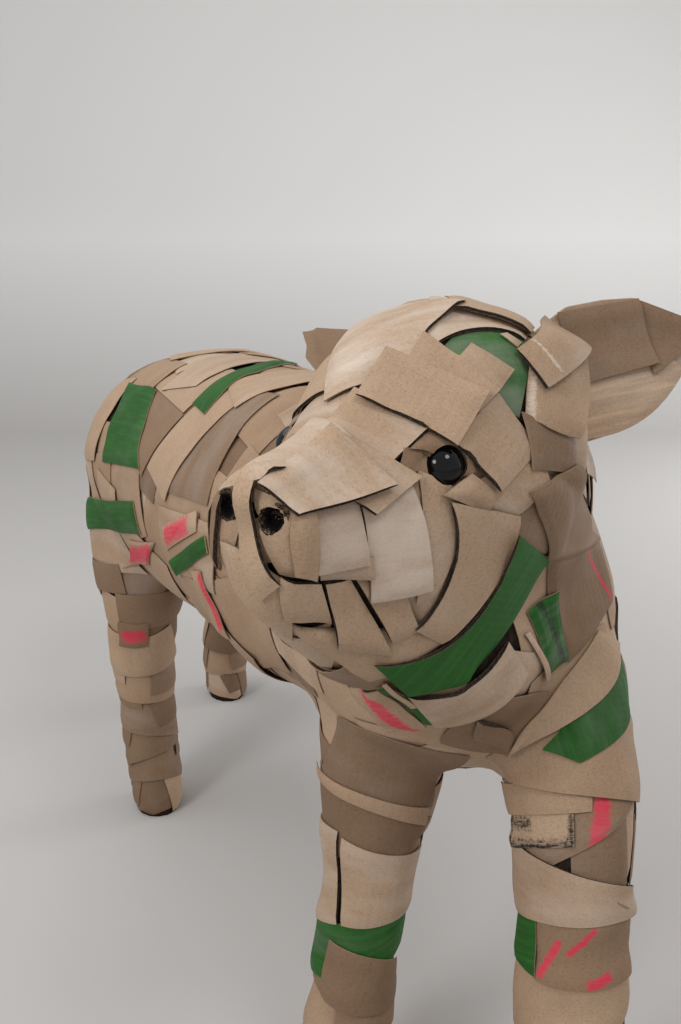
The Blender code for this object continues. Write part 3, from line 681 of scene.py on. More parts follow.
def board(piece, lower, x, y, how, marks=()):
    """A closed board over a net of points: its two faces and its cut edges."""
    shape = lower.shape[:2]
    outward = unit(np.cross(np.gradient(lower, axis=0), np.gradient(lower, axis=1)))
    share = np.ones(shape)
    for side, distance in side_distances(x, y).items():
        if side not in how.open:
            run = np.clip(distance / PRESS_REACH, 0, 1)
            share = np.minimum(share, PRESSED + (1 - PRESSED) * run * run * (3 - 2 * run))
    upper = lower + outward * (how.thick * share)[..., None]
    lower, upper = lower.reshape(-1, 3).copy(), upper.reshape(-1, 3).copy()
    lower[:, 2] = np.maximum(lower[:, 2], SOLE_CLEAR)
    upper[:, 2] = np.maximum(upper[:, 2], SOLE_CLEAR + GAP)
    index = np.arange(len(lower)).reshape(shape)
    face = np.stack([index[:-1, :-1], index[1:, :-1], index[1:, 1:], index[:-1, 1:]], axis=-1).reshape(-1, 4)
    if not how.whole:
        keep = opened(lower, upper, face)
        face = face[keep if keep.all() else largest(keep, shape)]
    if not len(face):
        return
    # The rim is the edges that only one face runs along; it tells which of them are cut open.
    ends = np.concatenate([face[:, [0, 1]], face[:, [1, 2]], face[:, [2, 3]], face[:, [3, 0]]])
    codes, backward = ends @ (len(lower), 1), ends @ (1, len(lower))
    rim = ends[~np.isin(codes, backward)]
    i, j = np.divmod(rim, shape[1])
    sides = {"s": j == 0, "e": i == shape[0] - 1, "n": j == shape[1] - 1, "w": i == 0}
    dark = np.ones(len(rim))
    for side, test in sides.items():
        dark[test.all(axis=1)] = side in how.open
    rim_at = np.unique(rim)
    middles = np.zeros((len(lower), 4))
    for corner in range(4):
        np.add.at(middles, face[:, corner], np.c_[lower[face].mean(axis=1), np.ones(len(face))])
    inward = unit(middles[rim_at, :3] / middles[rim_at, 3:] - lower[rim_at])
    openness = np.zeros(len(lower))
    np.maximum.at(openness, rim.ravel(), np.repeat(dark, 2))
    # The points: both faces, and between them the rings of the rim at each level of the cut.
    used = np.unique(face)
    place_of = np.full(len(lower), -1)
    place_of[used] = np.arange(len(used))
    ring_of = np.full(len(lower), -1)
    ring_of[rim_at] = np.arange(len(rim_at))
    liner = LINER / how.thick
    levels = [(0, 0), (1, 0)]
    if how.fine:
        levels = [(0, 0), (liner, 0), (liner, 1), (1 - liner, 1), (1 - liner, 0), (1, 0)]
    points = [lower[used], upper[used]]
    for level, inset in levels[1:-1]:
        ring = lower[rim_at] + (upper[rim_at] - lower[rim_at]) * level
        points.append(ring + inward * (CORE_INSET * inset * openness[rim_at])[:, None])
    flat = np.stack([x, y], axis=-1).reshape(-1, 2) + (CHANCE.random(), CHANCE.random())
    # The faces: the finished top, the kraft back and a band of cut edge between two levels.
    top, bottom = place_of[face] + len(used), place_of[face][:, ::-1]
    quads, plans = [top, bottom], [flat[face], flat[face[:, ::-1]]]
    kinds = [np.full(len(face), FINISHES.index(how.finish)), np.full(len(face), FINISHES.index("kraft"))]
    cuts = [np.zeros(2 * len(face))]
    run = flat.sum(axis=1)
    for k in range(len(levels) - 1):
        rows = []
        for at in (k, k + 1):
            if at == 0:
                rows.append(place_of[rim])
            elif at == len(levels) - 1:
                rows.append(place_of[rim] + len(used))
            else:
                rows.append(ring_of[rim] + 2 * len(used) + (at - 1) * len(rim_at))
        quads.append(np.stack([rows[0][:, 0], rows[0][:, 1], rows[1][:, 1], rows[1][:, 0]], axis=-1))
        across = [np.full(len(rim), levels[at][0]) for at in (k, k, k + 1, k + 1)]
        along = run[rim[:, [0, 1, 1, 0]]]
        plans.append(np.stack([along, np.stack(across, axis=1)], axis=-1))
        kinds.append(np.full(len(rim), FINISHES.index("edge")))
        cuts.append(dark)
    # A board without a tone or gloss of its own is dealt one.
    light = CHANCE.random() if how.light is None else how.light
    gloss = CHANCE.random() ** 2 * MOST_GLOSS if how.gloss is None else how.gloss
    along, across = painted(x, y, marks)
    tone = np.stack([np.full(shape, light), np.full(shape, gloss), along, across], axis=-1).reshape(-1, 4)
    tones = [tone[used], tone[used]] + [tone[rim_at]] * (len(levels) - 2)
    parts = (points, quads, kinds, plans, tones, cuts)
    piece.add(*(np.concatenate(part) for part in parts))
    tree = BVHTree.FromPolygons(upper.tolist(), face.tolist())
    LAID.append((tree, upper.min(0), upper.max(0)))


# A sight line's start, how often it is moved on, and how near counts as touching.
SIGHT_START = 0.1
SIGHT_STEPS = 80
TOUCHING = 0.0002


def touched(pixel, height):
    """The spot of the form where the sight line through a pixel comes within a height of it."""
    way = sight(pixel)
    spot = CAMERA_AT + way * SIGHT_START
    best, closest = None, 1.0
    for _ in range(SIGHT_STEPS):
        near, _ = FORM.at(spot)
        gap = (spot - near).length - height
        if gap < closest:
            best, closest = near, gap
        if gap < TOUCHING:
            break
        spot = spot + way * max(gap, TOUCHING)
    return best


def metres(pairs):
    """A plan's points given in millimetres."""
    return [(x / 1000, y / 1000) for x, y in pairs]


# How much of a board's thickness shows at its corners, so that its outline is read at that height.
CORNER_SEEN = 0.7


class Lay:
    """Where one board lies: its outline in its own plan, on something that carries the plan."""

    pixels = None
    bulge = (0, 0, 0, 0)
    reach = BENT_REACH

    def outline(self, how, raised=(0, 0, 0, 0)):
        """Find the outline again from the pixels, with its corners at some heights."""
        if self.pixels is None:
            return
        self.corners = [self.read(pixel, height) for pixel, height in zip(self.pixels, raised)]
        self.bulge = [0, 0, 0, 0]
        for k, pixel in enumerate(how.mids):
            if pixel is not None:
                (x0, y0), (x1, y1) = self.corners[k], self.corners[(k + 1) % 4]
                x, y = self.read(pixel, (raised[k] + raised[(k + 1) % 4]) / 2)
                length = math.hypot(x1 - x0, y1 - y0)
                self.bulge[k] = ((x - x0) * (y1 - y0) - (y - y0) * (x1 - x0)) / length
        moves = {"s": ((0, 3), (1, 2)), "e": ((1, 0), (2, 3)), "n": ((2, 1), (3, 0)), "w": ((3, 2), (0, 1))}
        for side, distance in how.grow.items():
            for moved, away in moves[side]:
                moved_at, away_at = np.array(self.corners[moved]), np.array(self.corners[away])
                step = moved_at - away_at
                self.corners[moved] = tuple(moved_at + step / np.linalg.norm(step) * distance / 1000)

    def fit(self, how):
        """Settle the outline with the heights that its corners come to lie at."""
        if self.pixels is not None:
            for _ in range(2):
                x, y, base, normals = self.spread(2 * CELL)
                heights = self.heights(x, y, base, normals, how)
                at = ((0, 0), (-1, 0), (-1, -1), (0, -1))
                self.outline(how, [max(0, heights[i, j]) + how.thick * CORNER_SEEN for i, j in at])

    def heights(self, x, y, base, normals, how):
        """Heights of a soft board that follows what is under it."""
        wanted = heights_over(base, normals, self.reach, 0.0)
        return eased(np.maximum(np.nan_to_num(wanted), 0) + GAP, how.ease)

    def marked_at(self, pixel, x, y, heights):
        """Where on the board's top a pixel lies."""
        height = float(np.median(heights))
        for _ in range(3):
            x0, y0 = self.read(pixel, height)
            height = float(heights.flat[np.argmin((x - x0) ** 2 + (y - y0) ** 2)])
        return x0, y0

    def lay(self, piece, how):
        x, y, base, normals = self.spread(how.cell)
        heights = lifted(self.heights(x, y, base, normals, how), how.lift)
        marks = []
        for start, end, width in how.marks:
            if self.pixels is None:
                ends = metres((start, end))
            else:
                ends = [self.marked_at(pixel, x, y, heights + how.thick) for pixel in (start, end)]
            marks.append((*ends, width / 1000))
        board(piece, base + normals * heights[..., None], x, y, how, marks)


class Flat(Lay):
    """A board that lies nearly flat on a plane."""

    def __init__(self, how, pixels, plane=None, ahead=None, corners=None):
        self.pixels = pixels
        if plane is None:
            spots = [touched(pixel, 0) for pixel in (*pixels, tuple(np.mean(pixels, axis=0)))]
            normal = sum((FORM.at(spot)[1] for spot in spots), Vector((0, 0, 0))).normalized()
            plane = sum(spots, Vector((0, 0, 0))) / len(spots), normal
        self.origin, self.normal = plane
        if ahead is None:
            a, b, c, d = (self.met(pixel, 0) for pixel in pixels)
            ahead = (b + c - a - d).normalized()
        self.ahead = ahead
        self.side = self.normal.cross(self.ahead)
        if pixels is None:
            self.corners = metres(corners)
        self.outline(how)

    def met(self, pixel, height):
        """Where the sight line through a pixel meets the plane, raised by a height."""
        way = sight(pixel)
        offset = self.origin + self.normal * height - CAMERA_AT
        return CAMERA_AT + way * (offset.dot(self.normal) / way.dot(self.normal))

    def read(self, pixel, height):
        away = self.met(pixel, height) - self.origin
        return away.dot(self.ahead), away.dot(self.side)

    def spread(self, cell):
        x, y = plan_of(self.corners, self.bulge, cell)
        origin, ahead, side = (np.array(part) for part in (self.origin, self.ahead, self.side))
        base = origin + x[..., None] * ahead + y[..., None] * side
        return x, y, base, np.broadcast_to(np.array(self.normal), base.shape)

    def heights(self, x, y, base, normals, how):
        """Heights of a stiff board that rests on what is under it."""
        wanted = heights_over(base, normals, FLAT_REACH, FLAT_REACH) + GAP
        heights = np.fmax(board_fit(wanted, x, y, how.bend, how.twist), wanted)
        for _ in range(3):
            heights = np.fmax(np.mean(around(heights), axis=0), wanted)
        return heights

    def footprint(self):
        """Spots of the form under the board."""
        found = []
        for point in self.spread(CELL)[2][1:-1, 1:-1].reshape(-1, 3):
            seen = FORM.seen(Vector(point) + self.normal * FLAT_REACH, -self.normal)
            if seen is not None and (seen[0] - Vector(point)).length < FLAT_REACH:
                found.append(seen[0])
        return found

    def spots(self):
        return [self.origin + self.ahead * x + self.side * y for x, y in self.corners]


class Draped(Flat):
    """A flat board that bends to follow what lies under it."""

    reach = DRAPED_REACH
    heights = Lay.heights


# How far the chart of a board is walked out past its corners.
CHART_SPARE = 1.35
CHART_EDGE = 0.006


class Bent(Lay):
    """A board that follows the form round its bends."""

    def __init__(self, how, pixels=None, spots=None, start=None, way=None, corners=None, bulge=(0, 0, 0, 0)):
        self.pixels = pixels
        if corners is not None:
            self.start, self.way, self.corners, self.bulge = start, way, corners, bulge
            self.walk()
            return
        if pixels is not None:
            spots = [touched(pixel, 0) for pixel in pixels]
        a, b, c, d = spots
        self.start, normal = FORM.at((a + b + c + d) / 4)
        self.way = turned(b + c - a - d, normal, 0)
        span = max((corner - self.start).length for corner in spots) * CHART_SPARE + CHART_EDGE
        self.chart = Chart(self.start, self.way, (-span, span), (-span, span))
        if pixels is not None:
            self.outline(how)
        else:
            self.corners, self.bulge = [self.unrolled(spot) for spot in spots], bulge
        self.walk()

    def walk(self):
        """Walk out the chart over the whole outline."""
        ranges = []
        for values in plan_of(self.corners, self.bulge, CELL):
            low, high = values.min() - CHART_EDGE, values.max() + CHART_EDGE
            ranges.append((min(low, -CHART_EDGE), max(high, CHART_EDGE)))
        self.chart = Chart(self.start, self.way, *ranges)

    def unrolled(self, aim):
        """The plan's coordinates of a spot on the form, found on the chart."""
        aim = np.array(aim)
        away = np.linalg.norm(self.chart.spots - aim, axis=-1)
        i, j = np.unravel_index(away.argmin(), away.shape)
        spot = np.array(((i + self.chart.first[0]) * STEP, (j + self.chart.first[1]) * STEP))
        for _ in range(4):
            here = self.chart.read(*spot)[0]
            slopes = [self.chart.read(*(spot + step))[0] - here for step in ((STEP / 4, 0), (0, STEP / 4))]
            change = np.linalg.lstsq(np.stack(slopes, axis=1), aim - here, rcond=None)[0] * STEP / 4
            spot = spot + np.clip(change, -STEP, STEP)
        return float(spot[0]), float(spot[1])

    def read(self, pixel, height):
        return self.unrolled(touched(pixel, height))

    def spread(self, cell):
        x, y = plan_of(self.corners, self.bulge, cell)
        return x, y, *self.chart.read(x, y)

    def stretch(self):
        """How much longer or shorter the board's cells are on the form than in its plan."""
        x, y, base, _ = self.spread(CELL)
        shares = [
            np.linalg.norm(np.diff(base, axis=k), axis=-1) / np.hypot(np.diff(x, axis=k), np.diff(y, axis=k))
            for k in (0, 1)
        ]
        return max(max(share.max(), 1 / share.min()) for share in shares)

    def footprint(self):
        return self.spread(CELL)[2][1:-1, 1:-1].reshape(-1, 3)

    def spots(self):
        return [Vector(self.chart.read(np.float64(x), np.float64(y))[0]) for x, y in self.corners]


def mirrored(lay, how):
    """A board's twin on the other side of the head, bent over the form there."""
    a, b, c, d = (across(spot) for spot in lay.spots())
    return Bent(how, spots=(d, c, b, a), bulge=[lay.bulge[k] for k in (2, 1, 0, 3)])


def across(spot):
    """The same spot on the other side of the head."""
    return spot - HEAD_LEFT * (2 * (spot - NOSE).dot(HEAD_LEFT))


def flipped(how):
    """A board's style for its twin on the other side of the head, which is cut more plainly."""
    a, b, c, d = how.lift
    sides = how.open.translate(str.maketrans("sn", "ns"))
    made = {"marks": (), "open": sides, "lift": (d, c, b, a), "thick": THIN_BOARD, "whole": False}
    return SimpleNamespace(**{**vars(how), **made})


# The boards of the head and neck that the photograph shows, the lowest first: name, how it lies, its
# corners in the photograph's pixels anticlockwise from low left, and its style.
FACE = [
    ("jaw_sheet", Bent, ((283, 628), (366, 685), (440, 648), (338, 634)),
     style(light=0.25, grow={"e": 3, "n": 6, "w": 3})),
    ("chin_left", Bent, ((236, 594), (292, 640), (284, 586), (226, 545)),
     style(light=0.1, gloss=0.3, grow={"w": 5, "s": 4})),
    ("cheek_hollow", Bent, ((417, 630), (424, 628), (446, 580), (405, 594)), style(light=0.7)),
    ("cheek_rear_sheet", Bent, ((418, 606), (436, 597), (453, 500), (422, 486)),
     style(light=0.4, gloss=0.4, mids=(None, (459, 552), None, None), grow={"n": 5})),
    ("lip_piece_rear", Bent, ((393, 645), (418, 631), (404, 590), (357, 580)), style(light=0.35, open="we")),
    ("cheek_sheet", Bent, ((373, 606), (435, 592), (416, 492), (362, 498)),
     style(light=0.1, gloss=1.0, mids=((405, 601), (432, 545), None, None), grow={"n": 5})),
    ("snout_lower_piece", Bent, ((322, 582), (372, 578), (372, 556), (319, 556)), style(light=0.6)),
    ("snout_side_patch_left", Bent, ((319, 578), (372, 566.5), (361, 500), (312, 500)),
     style(light=0.5, gloss=0.8, mids=(None, (369.5, 537), None, None))),
    ("nostril_panel", Bent, ((277, 577), (319, 582), (315, 500), (254, 484)), style(light=0.4, cell=0.0013)),
    ("snout_front_strip", Bent, ((296, 579), (318.5, 582), (316, 500), (294, 500)),
     style(light=0.55, thick=THIN_BOARD)),
    ("lip_piece_front", Bent, ((339, 652), (393, 656), (352.5, 581), (326, 585)),
     style(light=0.3, open="nw", twist=0.6)),
    ("chin_front", Bent, ((283.9, 623), (335.5, 633), (324.7, 592), (277.5, 582)),
     style(light=0.15, open="ne", twist=0.6, grow={"n": 1})),
    ("bridge_piece", Flat, ((330, 424), (398, 455), (427, 428), (356, 392)),
     style(light=0.45, gloss=0.6, open="e", grow={"s": 4, "w": 2, "n": 2})),
    ("eye_corner_piece", Bent, ((402, 474), (421, 470), (426, 446), (405, 446)),
     style("brown", light=0.3, cell=0.0015)),
    ("eye_brow_base", Bent, ((424, 452), (478, 490), (500, 470), (440, 425)),
     style("brown", light=0.5, cell=0.0015)),
    ("eye_lid_upper", Bent, ((410, 448), (459, 480.4), (477, 472), (430, 430)),
     style("brown", light=0.1, thick=THIN_BOARD, cell=0.0015, mids=((437, 453), None, (460, 443), None))),
    ("snout_ridge_sheet", Bent, ((258, 474), (285, 480), (345, 442), (324, 427)),
     style(light=0.0, gloss=0.8, thick=THIN_BOARD, grow={"w": 9, "n": 4})),
    ("snout_top_under", Flat, ((355, 500), (376.6, 514.9), (424, 475.8), (332, 424)),
     style(light=0.2, gloss=0.4, open="se", whole=True)),
    ("snout_top_panel", Flat, ((256.7, 484), (298, 515.3), (399, 482.6), (331, 423)),
     style(light=0.05, gloss=0.8, open="se")),
    ("snout_top_left", Bent, ((216, 493), (257, 481), (287, 464), (274, 456)),
     style(light=0.0, gloss=0.8, open="e")),
    ("crown_green_patch", Bent, ((478, 400), (521.5, 417), (529, 342), (446, 343)),
     style("green", light=0.3, gloss=1.0, mids=(None, (528, 385), (492, 325), None))),
    ("crown_strip", Bent, ((447.5, 343), (527, 338), (533, 331), (452, 302)),
     style(light=0.0, gloss=1.0, open="s", mids=((488, 328.5), None, (492, 314), None),
           thick=0.0014, grow={"w": 8})),
    ("crown_kraft_bit", Bent, ((518.8, 346), (523, 341), (508, 331), (501, 332.5)),
     style(light=0.3, thick=THIN_BOARD)),
    ("crown_back_sheet", Bent, ((455.8, 308.2), (531, 333.5), (536, 326), (452, 298)),
     style(light=0.3, open="s", thick=0.0014, mids=((492, 315.5), None, None, None), grow={"n": 10})),
    ("forehead_sheet", Bent, ((322, 400), (404, 373), (455.8, 305), (343, 332)),
     style(light=0.0, gloss=1.0, open="e", thick=0.0014, grow={"n": 8},
           mids=(None, (419, 333), (400, 304), None))),
    ("septum_strip", Bent, ((256, 604), (277.5, 589), (253.6, 480), (235.5, 480)),
     style(light=0.1, open="e", thick=0.0019, whole=True, cell=0.0018,
           mids=(None, (249.5, 538), None, (233, 545)))),
    ("neck_corner_piece", Bent, ((506, 540), (556, 545), (562, 478), (512, 470)),
     style("brown", light=0.3, grow={"s": 6})),
    ("behind_brow_panel", Flat, ((452, 492), (520.5, 514.5), (552, 485.4), (543, 451)),
     style(light=0.7, twist=0.7, grow={"s": 2.5})),
    ("eye_lid_lower", Bent, ((448, 493), (495, 509), (500, 495), (474.5, 473.5)),
     style(light=0.5, cell=0.0015, grow={"s": 1.5})),
    ("brow_strip_left", Flat, ((459.5, 444.5), (503.3, 492), (542.9, 449.4), (499, 390)),
     style(light=0.5, open="s", thick=0.0022)),
    ("small_crown_panel", Flat, ((461, 354), (499.7, 391.2), (516, 368), (472.4, 341.4)), style(light=0.4)),
    ("strip_above_brow", Flat, ((400, 372), (480, 410), (500.6, 389.5), (424.3, 329)), style(light=0.35)),
    ("brow_panel_left", Flat, ((355.5, 392.8), (458.4, 444), (490.6, 389.5), (386.1, 344.7)),
     style(light=0.25, gloss=0.0, open="s", twist=0.0, bend=0.7)),
    ("neck_side_panel", Bent, ((535, 470), (580, 474), (577, 436), (526, 410)), style("brown", light=0.7)),
    ("neck_panel_dark", Bent, ((569.6, 663.6), (614, 598.6), (601, 541), (551, 560)),
     style("brown_pink", light=0.7, cell=0.0015, marks=(((593, 541), (611.7, 600), 2.0),))),
    ("neck_upper_panel", Bent, ((549, 566), (602, 539), (582, 464), (532, 492)),
     style("brown", light=0.2, open="e")),
    ("chest_sheet_dark", Bent, ((440, 745), (510, 757), (553, 695), (470, 700)),
     style("brown", light=0.5)),
    ("chest_edge_piece", Bent, ((474, 742), (508, 757), (515, 739), (478, 720)),
     style("brown", light=0.3, open="n", cell=0.0015)),
    ("brushed_green_strip", Bent, ((547, 680), (570, 660), (561, 592), (531, 612)),
     style("green_ink", light=0.9, cell=0.0012, marks=(((540, 600), (566, 668), 4.6),))),
    ("neck_sliver", Bent, ((544.5, 681), (549, 678.5), (532.5, 632), (528, 634)),
     style(light=0.2, thick=THIN_BOARD)),
    ("shoulder_green_patch", Bent, ((541, 750), (580, 763), (632, 722), (622, 664)),
     style("green", light=1.0, gloss=0.3, mids=(None, (612, 745), None, None), grow={"n": 4})),
    ("chest_band", Bent, ((507, 757), (623.6, 642), (602, 630), (521, 735)),
     style(light=0.35, mids=((573, 722), None, (560, 688), None))),
    ("neck_pink_piece", Draped, ((374, 733), (424, 733), (389, 690), (345, 691)),
     style("kraft_pink", light=0.5, cell=0.0012, grow={"n": 5},
           marks=(((366, 691), (411, 735), 10), ((346, 691), (373, 731), 3)))),
    ("neck_green_strip", Draped, ((424, 733), (438, 732), (392, 690), (380, 691)),
     style("green", light=0.9, grow={"n": 3})),
    ("neck_thin_sliver", Draped, ((410, 713), (416, 711), (386, 685), (381, 687)),
     style(light=0.1, thick=THIN_BOARD)),
    ("cheek_strip_left", Flat, ((418, 633), (443, 645), (522.5, 517), (454.4, 504.5)),
     style(light=0.3, open="we", mids=(None, (497, 581), None, (456, 560)))),
    ("green_cheek_band", Flat, ((408.4, 698), (558.3, 573), (520.4, 536), (375, 667)),
     style("green", light=0.6, open="n", thick=0.0013, mids=((500, 652), None, (460, 629), None))),
    ("throat_strip", Flat, ((435.8, 729), (530, 675.5), (512, 646.5), (408.4, 698)),
     style(light=0.35, open="sn", mids=((493, 705), None, (464, 683), None), thick=0.002)),
]
MIRRORED = (
    "cheek_rear_sheet",
    "cheek_sheet",
    "snout_side_patch_left",
    "nostril_panel",
    "lip_piece_front",
    "lip_piece_rear",
    "cheek_hollow",
    "bridge_piece",
    "eye_corner_piece",
    "eye_lid_upper",
    "eye_lid_lower",
    "behind_brow_panel",
    "brow_strip_left",
    "brow_panel_left",
    "cheek_strip_left",
)

# Where the photograph shows dark gaps between the boards.
DARK_GAPS = (
    (272, 580), (300, 586), (331, 610), (365, 600), (378, 622), (411, 615),
    (400, 458), (366, 682), (590, 500), (480, 322), (338, 850), (338, 868),
)

# The boards that the photograph hides or blurs, and the slivers under the snout: name, region, measure
# along it, bearing round it, turn, corners in millimetres and style.
WRAPS = [
    ("snout_sliver_1", "head", 0.0070, -80, 90, ((-13, -0.9), (8, -0.8), (9, 0.7), (-12, 0.9)),
     style("brown", light=0.2, open="sn", whole=True, cell=0.0012, lift=(0, 0.0014, 0.0014, 0))),
    ("snout_sliver_2", "head", 0.0095, -84, 88, ((-10, -0.9), (9, -0.8), (11, 0.8), (-10, 0.9)),
     style(light=0.2, open="sn", whole=True, cell=0.0012, lift=(0.0012, 0.001, 0.001, 0.0012))),
    ("snout_sliver_3", "head", 0.0120, -78, 93, ((-11, -1.0), (7, -0.8), (9, 0.7), (-12, 0.9)),
     style("brown", light=0.7, open="sn", whole=True, cell=0.0012, lift=(0.0016, 0, 0, 0.0016))),
    ("hindleg_right_band", "hindleg_right", 0.120, -40, -90, ((-38, -18), (36, -16), (36, 16), (-38, 14)),
     style()),
    ("flank_sheet_right", "torso", -0.060, -92, 5, ((-40, -17), (38, -18), (40, 17), (-38, 16)), style()),
    ("flank_sheet_left", "torso", -0.040, 88, -5, ((-42, -17), (40, -18), (40, 18), (-42, 16)), style()),
    ("hip_sheet_left", "torso", 0.080, 80, -80, ((-36, -17), (36, -16), (34, 18), (-36, 16)), style()),
    ("back_sheet", "torso", 0.120, 6, 80, ((-40, -17), (38, -17), (38, 17), (-40, 18)), style(light=0.1)),
]

# The boards of the legs and the body that the photograph shows, in the same terms as those of the face.
BODY_ROWS = [
    ("rump_green_upper", Bent, ((101, 462), (137, 468), (155, 388), (130, 383)),
     style("green", light=0.9, gloss=0.2)),
    ("rump_green_lower", Bent, ((88, 529), (139, 535), (131, 501), (87, 497)),
     style("green", light=0.9, gloss=0.2, grow={"w": 12})),
    ("back_green_stripe", Bent, ((203, 413), (284, 358), (283, 351), (191, 402)),
     style("green", light=0.9, gloss=0.2, grow={"e": 20}, mids=((242, 382), None, (236, 366), None))),
    ("hip_pink_piece", Bent, ((121, 569), (148, 566), (153, 543), (128, 541)),
     style("kraft_pink", cell=0.002, marks=(((122, 556), (151, 554), 13),))),
    ("flank_grey_strip", Bent, ((175, 577), (202, 556), (198, 538), (167, 562)),
     style("green", light=1.0, gloss=0.0, grow={"e": 5})),
    ("flank_pink_piece", Bent, ((165, 551), (187, 536), (185, 514), (160, 527)),
     style("kraft_pink", cell=0.002, grow={"e": 10}, marks=(((163, 538), (187, 525), 11),))),
    ("flank_pink_strip", Bent, ((208, 622), (222, 617), (201, 569), (188, 571)),
     style("kraft_pink", cell=0.002, grow={"s": 10}, marks=(((199, 570), (221, 632), 7),))),
    ("hindleg_right_pink", Bent, ((117, 647), (149, 647), (149, 624), (117, 622)),
     style("brown_pink", cell=0.002, marks=(((120, 636), (147, 635), 11),))),
    # The legs' boards have dark tones and brown finishes, partly for their own colour and partly as painted
    # shade under the head and body.
    ("foreleg_left_low", Bent, ((527, 1040), (612, 1040), (615, 972), (529, 968)),
     style(light=0.6, grow={"w": 14, "e": 14})),
    ("foreleg_left_band_4", Bent, ((533.6, 980), (618, 986), (618, 915), (533.6, 912)),
     style("brown_pink", light=0.0, open="s", grow={"e": 14}, cell=0.0013,
           marks=(((536, 978), (560, 940), 3.4), ((566, 957), (597, 929), 2.6),
                  ((586, 990), (612, 976), 5.0)))),
    ("foreleg_left_green", Bent, ((521, 968.3), (533, 978), (534, 918), (522, 914)),
     style("green", light=1.0, grow={"w": 12})),
    ("foreleg_left_band_3", Bent, ((508, 880), (625, 905), (630, 785), (503, 780)),
     style("brown_pink", light=0.0, grow={"e": 14, "w": 4, "s": 6}, cell=0.0016,
           marks=(((602.5, 795), (593, 882), 7.2),))),
    ("foreleg_left_band_2", Bent, ((522, 919.8), (622, 926), (625.8, 890.7), (521, 851.9)),
     style(light=0.8, open="n", grow={"e": 14, "w": 14}, mids=((560, 928), None, (560, 870), None))),
    ("foreleg_left_patch", Bent, ((509.4, 847), (574.4, 848), (573.4, 812), (508.4, 812)),
     style("kraft_ink", light=0.0, open="we", thick=THIN_BOARD, cell=0.0009,
           marks=(((506, 845), (577, 848), 7.5), ((507, 819), (531, 824), 6.0),
                  ((510, 810), (510, 850), 1.8), ((572, 810), (572, 850), 2.2)))),
    ("foreleg_left_band_b", Bent, ((507.5, 815), (592.8, 811.2), (592.8, 790), (505.5, 784)),
     style(light=0.6, grow={"w": 12})),
    ("foreleg_left_band_1", Bent, ((521, 783), (630.6, 797.6), (632, 730), (518, 752)),
     style(light=0.9, open="s", grow={"e": 14, "w": 12, "n": 7}, mids=((590, 796.6), None, None, None))),
    ("foreleg_right_low", Bent, ((334, 1040), (374, 1040), (381, 992), (336, 986)),
     style("brown", light=0.2, open="w", grow={"e": 12})),
    ("foreleg_right_green", Bent, ((314, 976), (390, 965), (394.5, 915), (317, 910)),
     style("green", light=1.0, gloss=0.3, grow={"w": 12, "e": 12})),
    ("foreleg_right_band_3", Bent, ((316.3, 993.5), (383.3, 1012.5), (396, 964.5), (327.2, 941)),
     style("brown", light=0.8, open="s", grow={"e": 6}, mids=(None, None, (362.5, 957.5), None))),
    ("foreleg_right_shin", Bent, ((323, 848), (390, 864), (424, 820), (326, 775)),
     style("brown", light=0.9, grow={"w": 10, "e": 8})),
    ("foreleg_right_side", Bent, ((317, 921), (335, 926), (336, 832), (325, 826)),
     style(light=0.7, open="e", grow={"w": 14})),
    ("foreleg_right_band_2", Bent, ((340, 927), (394.2, 923.8), (404, 856), (340.5, 838)),
     style(light=0.6, open="w", grow={"e": 14}, mids=((366, 930), None, None, None))),
    ("foreleg_right_top", Bent, ((326, 785), (428, 812), (458, 757), (348, 722)),
     style("brown", light=0.9, open="e", grow={"w": 8, "e": 3})),
    ("foreleg_right_band_1", Bent, ((326, 794), (427, 826), (431, 808), (322, 777)),
     style(light=0.7, grow={"w": 12}, mids=((378, 816), None, (373, 800), None))),
]

# Lengths and widths of the plain boards, and how far they turn, in degrees.
HEAD_BOARDS = (0.030, 0.042), (0.020, 0.027), 30
NECK_BOARDS = (0.040, 0.056), (0.024, 0.034), 25
TORSO_BOARDS = (0.060, 0.090), (0.036, 0.052), 20
LEG_BOARDS = (0.058, 0.076), (0.022, 0.030), 9

# How the form runs where no drawn board covers it: ends of a line, its reach and its plain boards.
GRAIN = {
    "head": (head_point(0.02, 0, 0), head_point(0.13, 0, 0), 0.050, *HEAD_BOARDS),
    "neck": (Vector((0.024, -0.130, 0.262)), Vector((0.006, -0.215, 0.305)), 0.060, *NECK_BOARDS),
    "chest": (Vector((0.026, -0.225, 0.245)), Vector((0.026, -0.180, 0.245)), 0.060, *NECK_BOARDS),
    "torso_front": (Vector((0.024, -0.160, 0.246)), Vector((0.014, 0.010, 0.248)), 0.080, *TORSO_BOARDS),
    "torso_rear": (Vector((0.012, 0.030, 0.248)), Vector((0.002, 0.200, 0.250)), 0.080, *TORSO_BOARDS),
}
LEG_REACHES = {"foreleg_left": 0.026, "foreleg_right": 0.026, "hindleg_right": 0.028, "hindleg_left": 0.028}
for leg, leg_reach in LEG_REACHES.items():
    GRAIN[leg] = (REGIONS[leg][1][0], REGIONS[leg][1][-1], leg_reach, *LEG_BOARDS)


def share_along(point, start, end):
    way = end - start
    return min(1.0, max(0.0, (point - start).dot(way) / way.length_squared))


def grain_at(point):
    """The region whose line runs nearest to a point, for its size."""

    def away(name):
        start, end, reach = GRAIN[name][:3]
        return (point - start.lerp(end, share_along(point, start, end))).length / reach

    return min(GRAIN, key=away)


# Boards that lie over plain boards, because they run round the snout and the chin.
OVER_COVERS = ("septum_strip", "jaw_sheet", "chin_left", "snout_ridge_sheet", "snout_top_left")

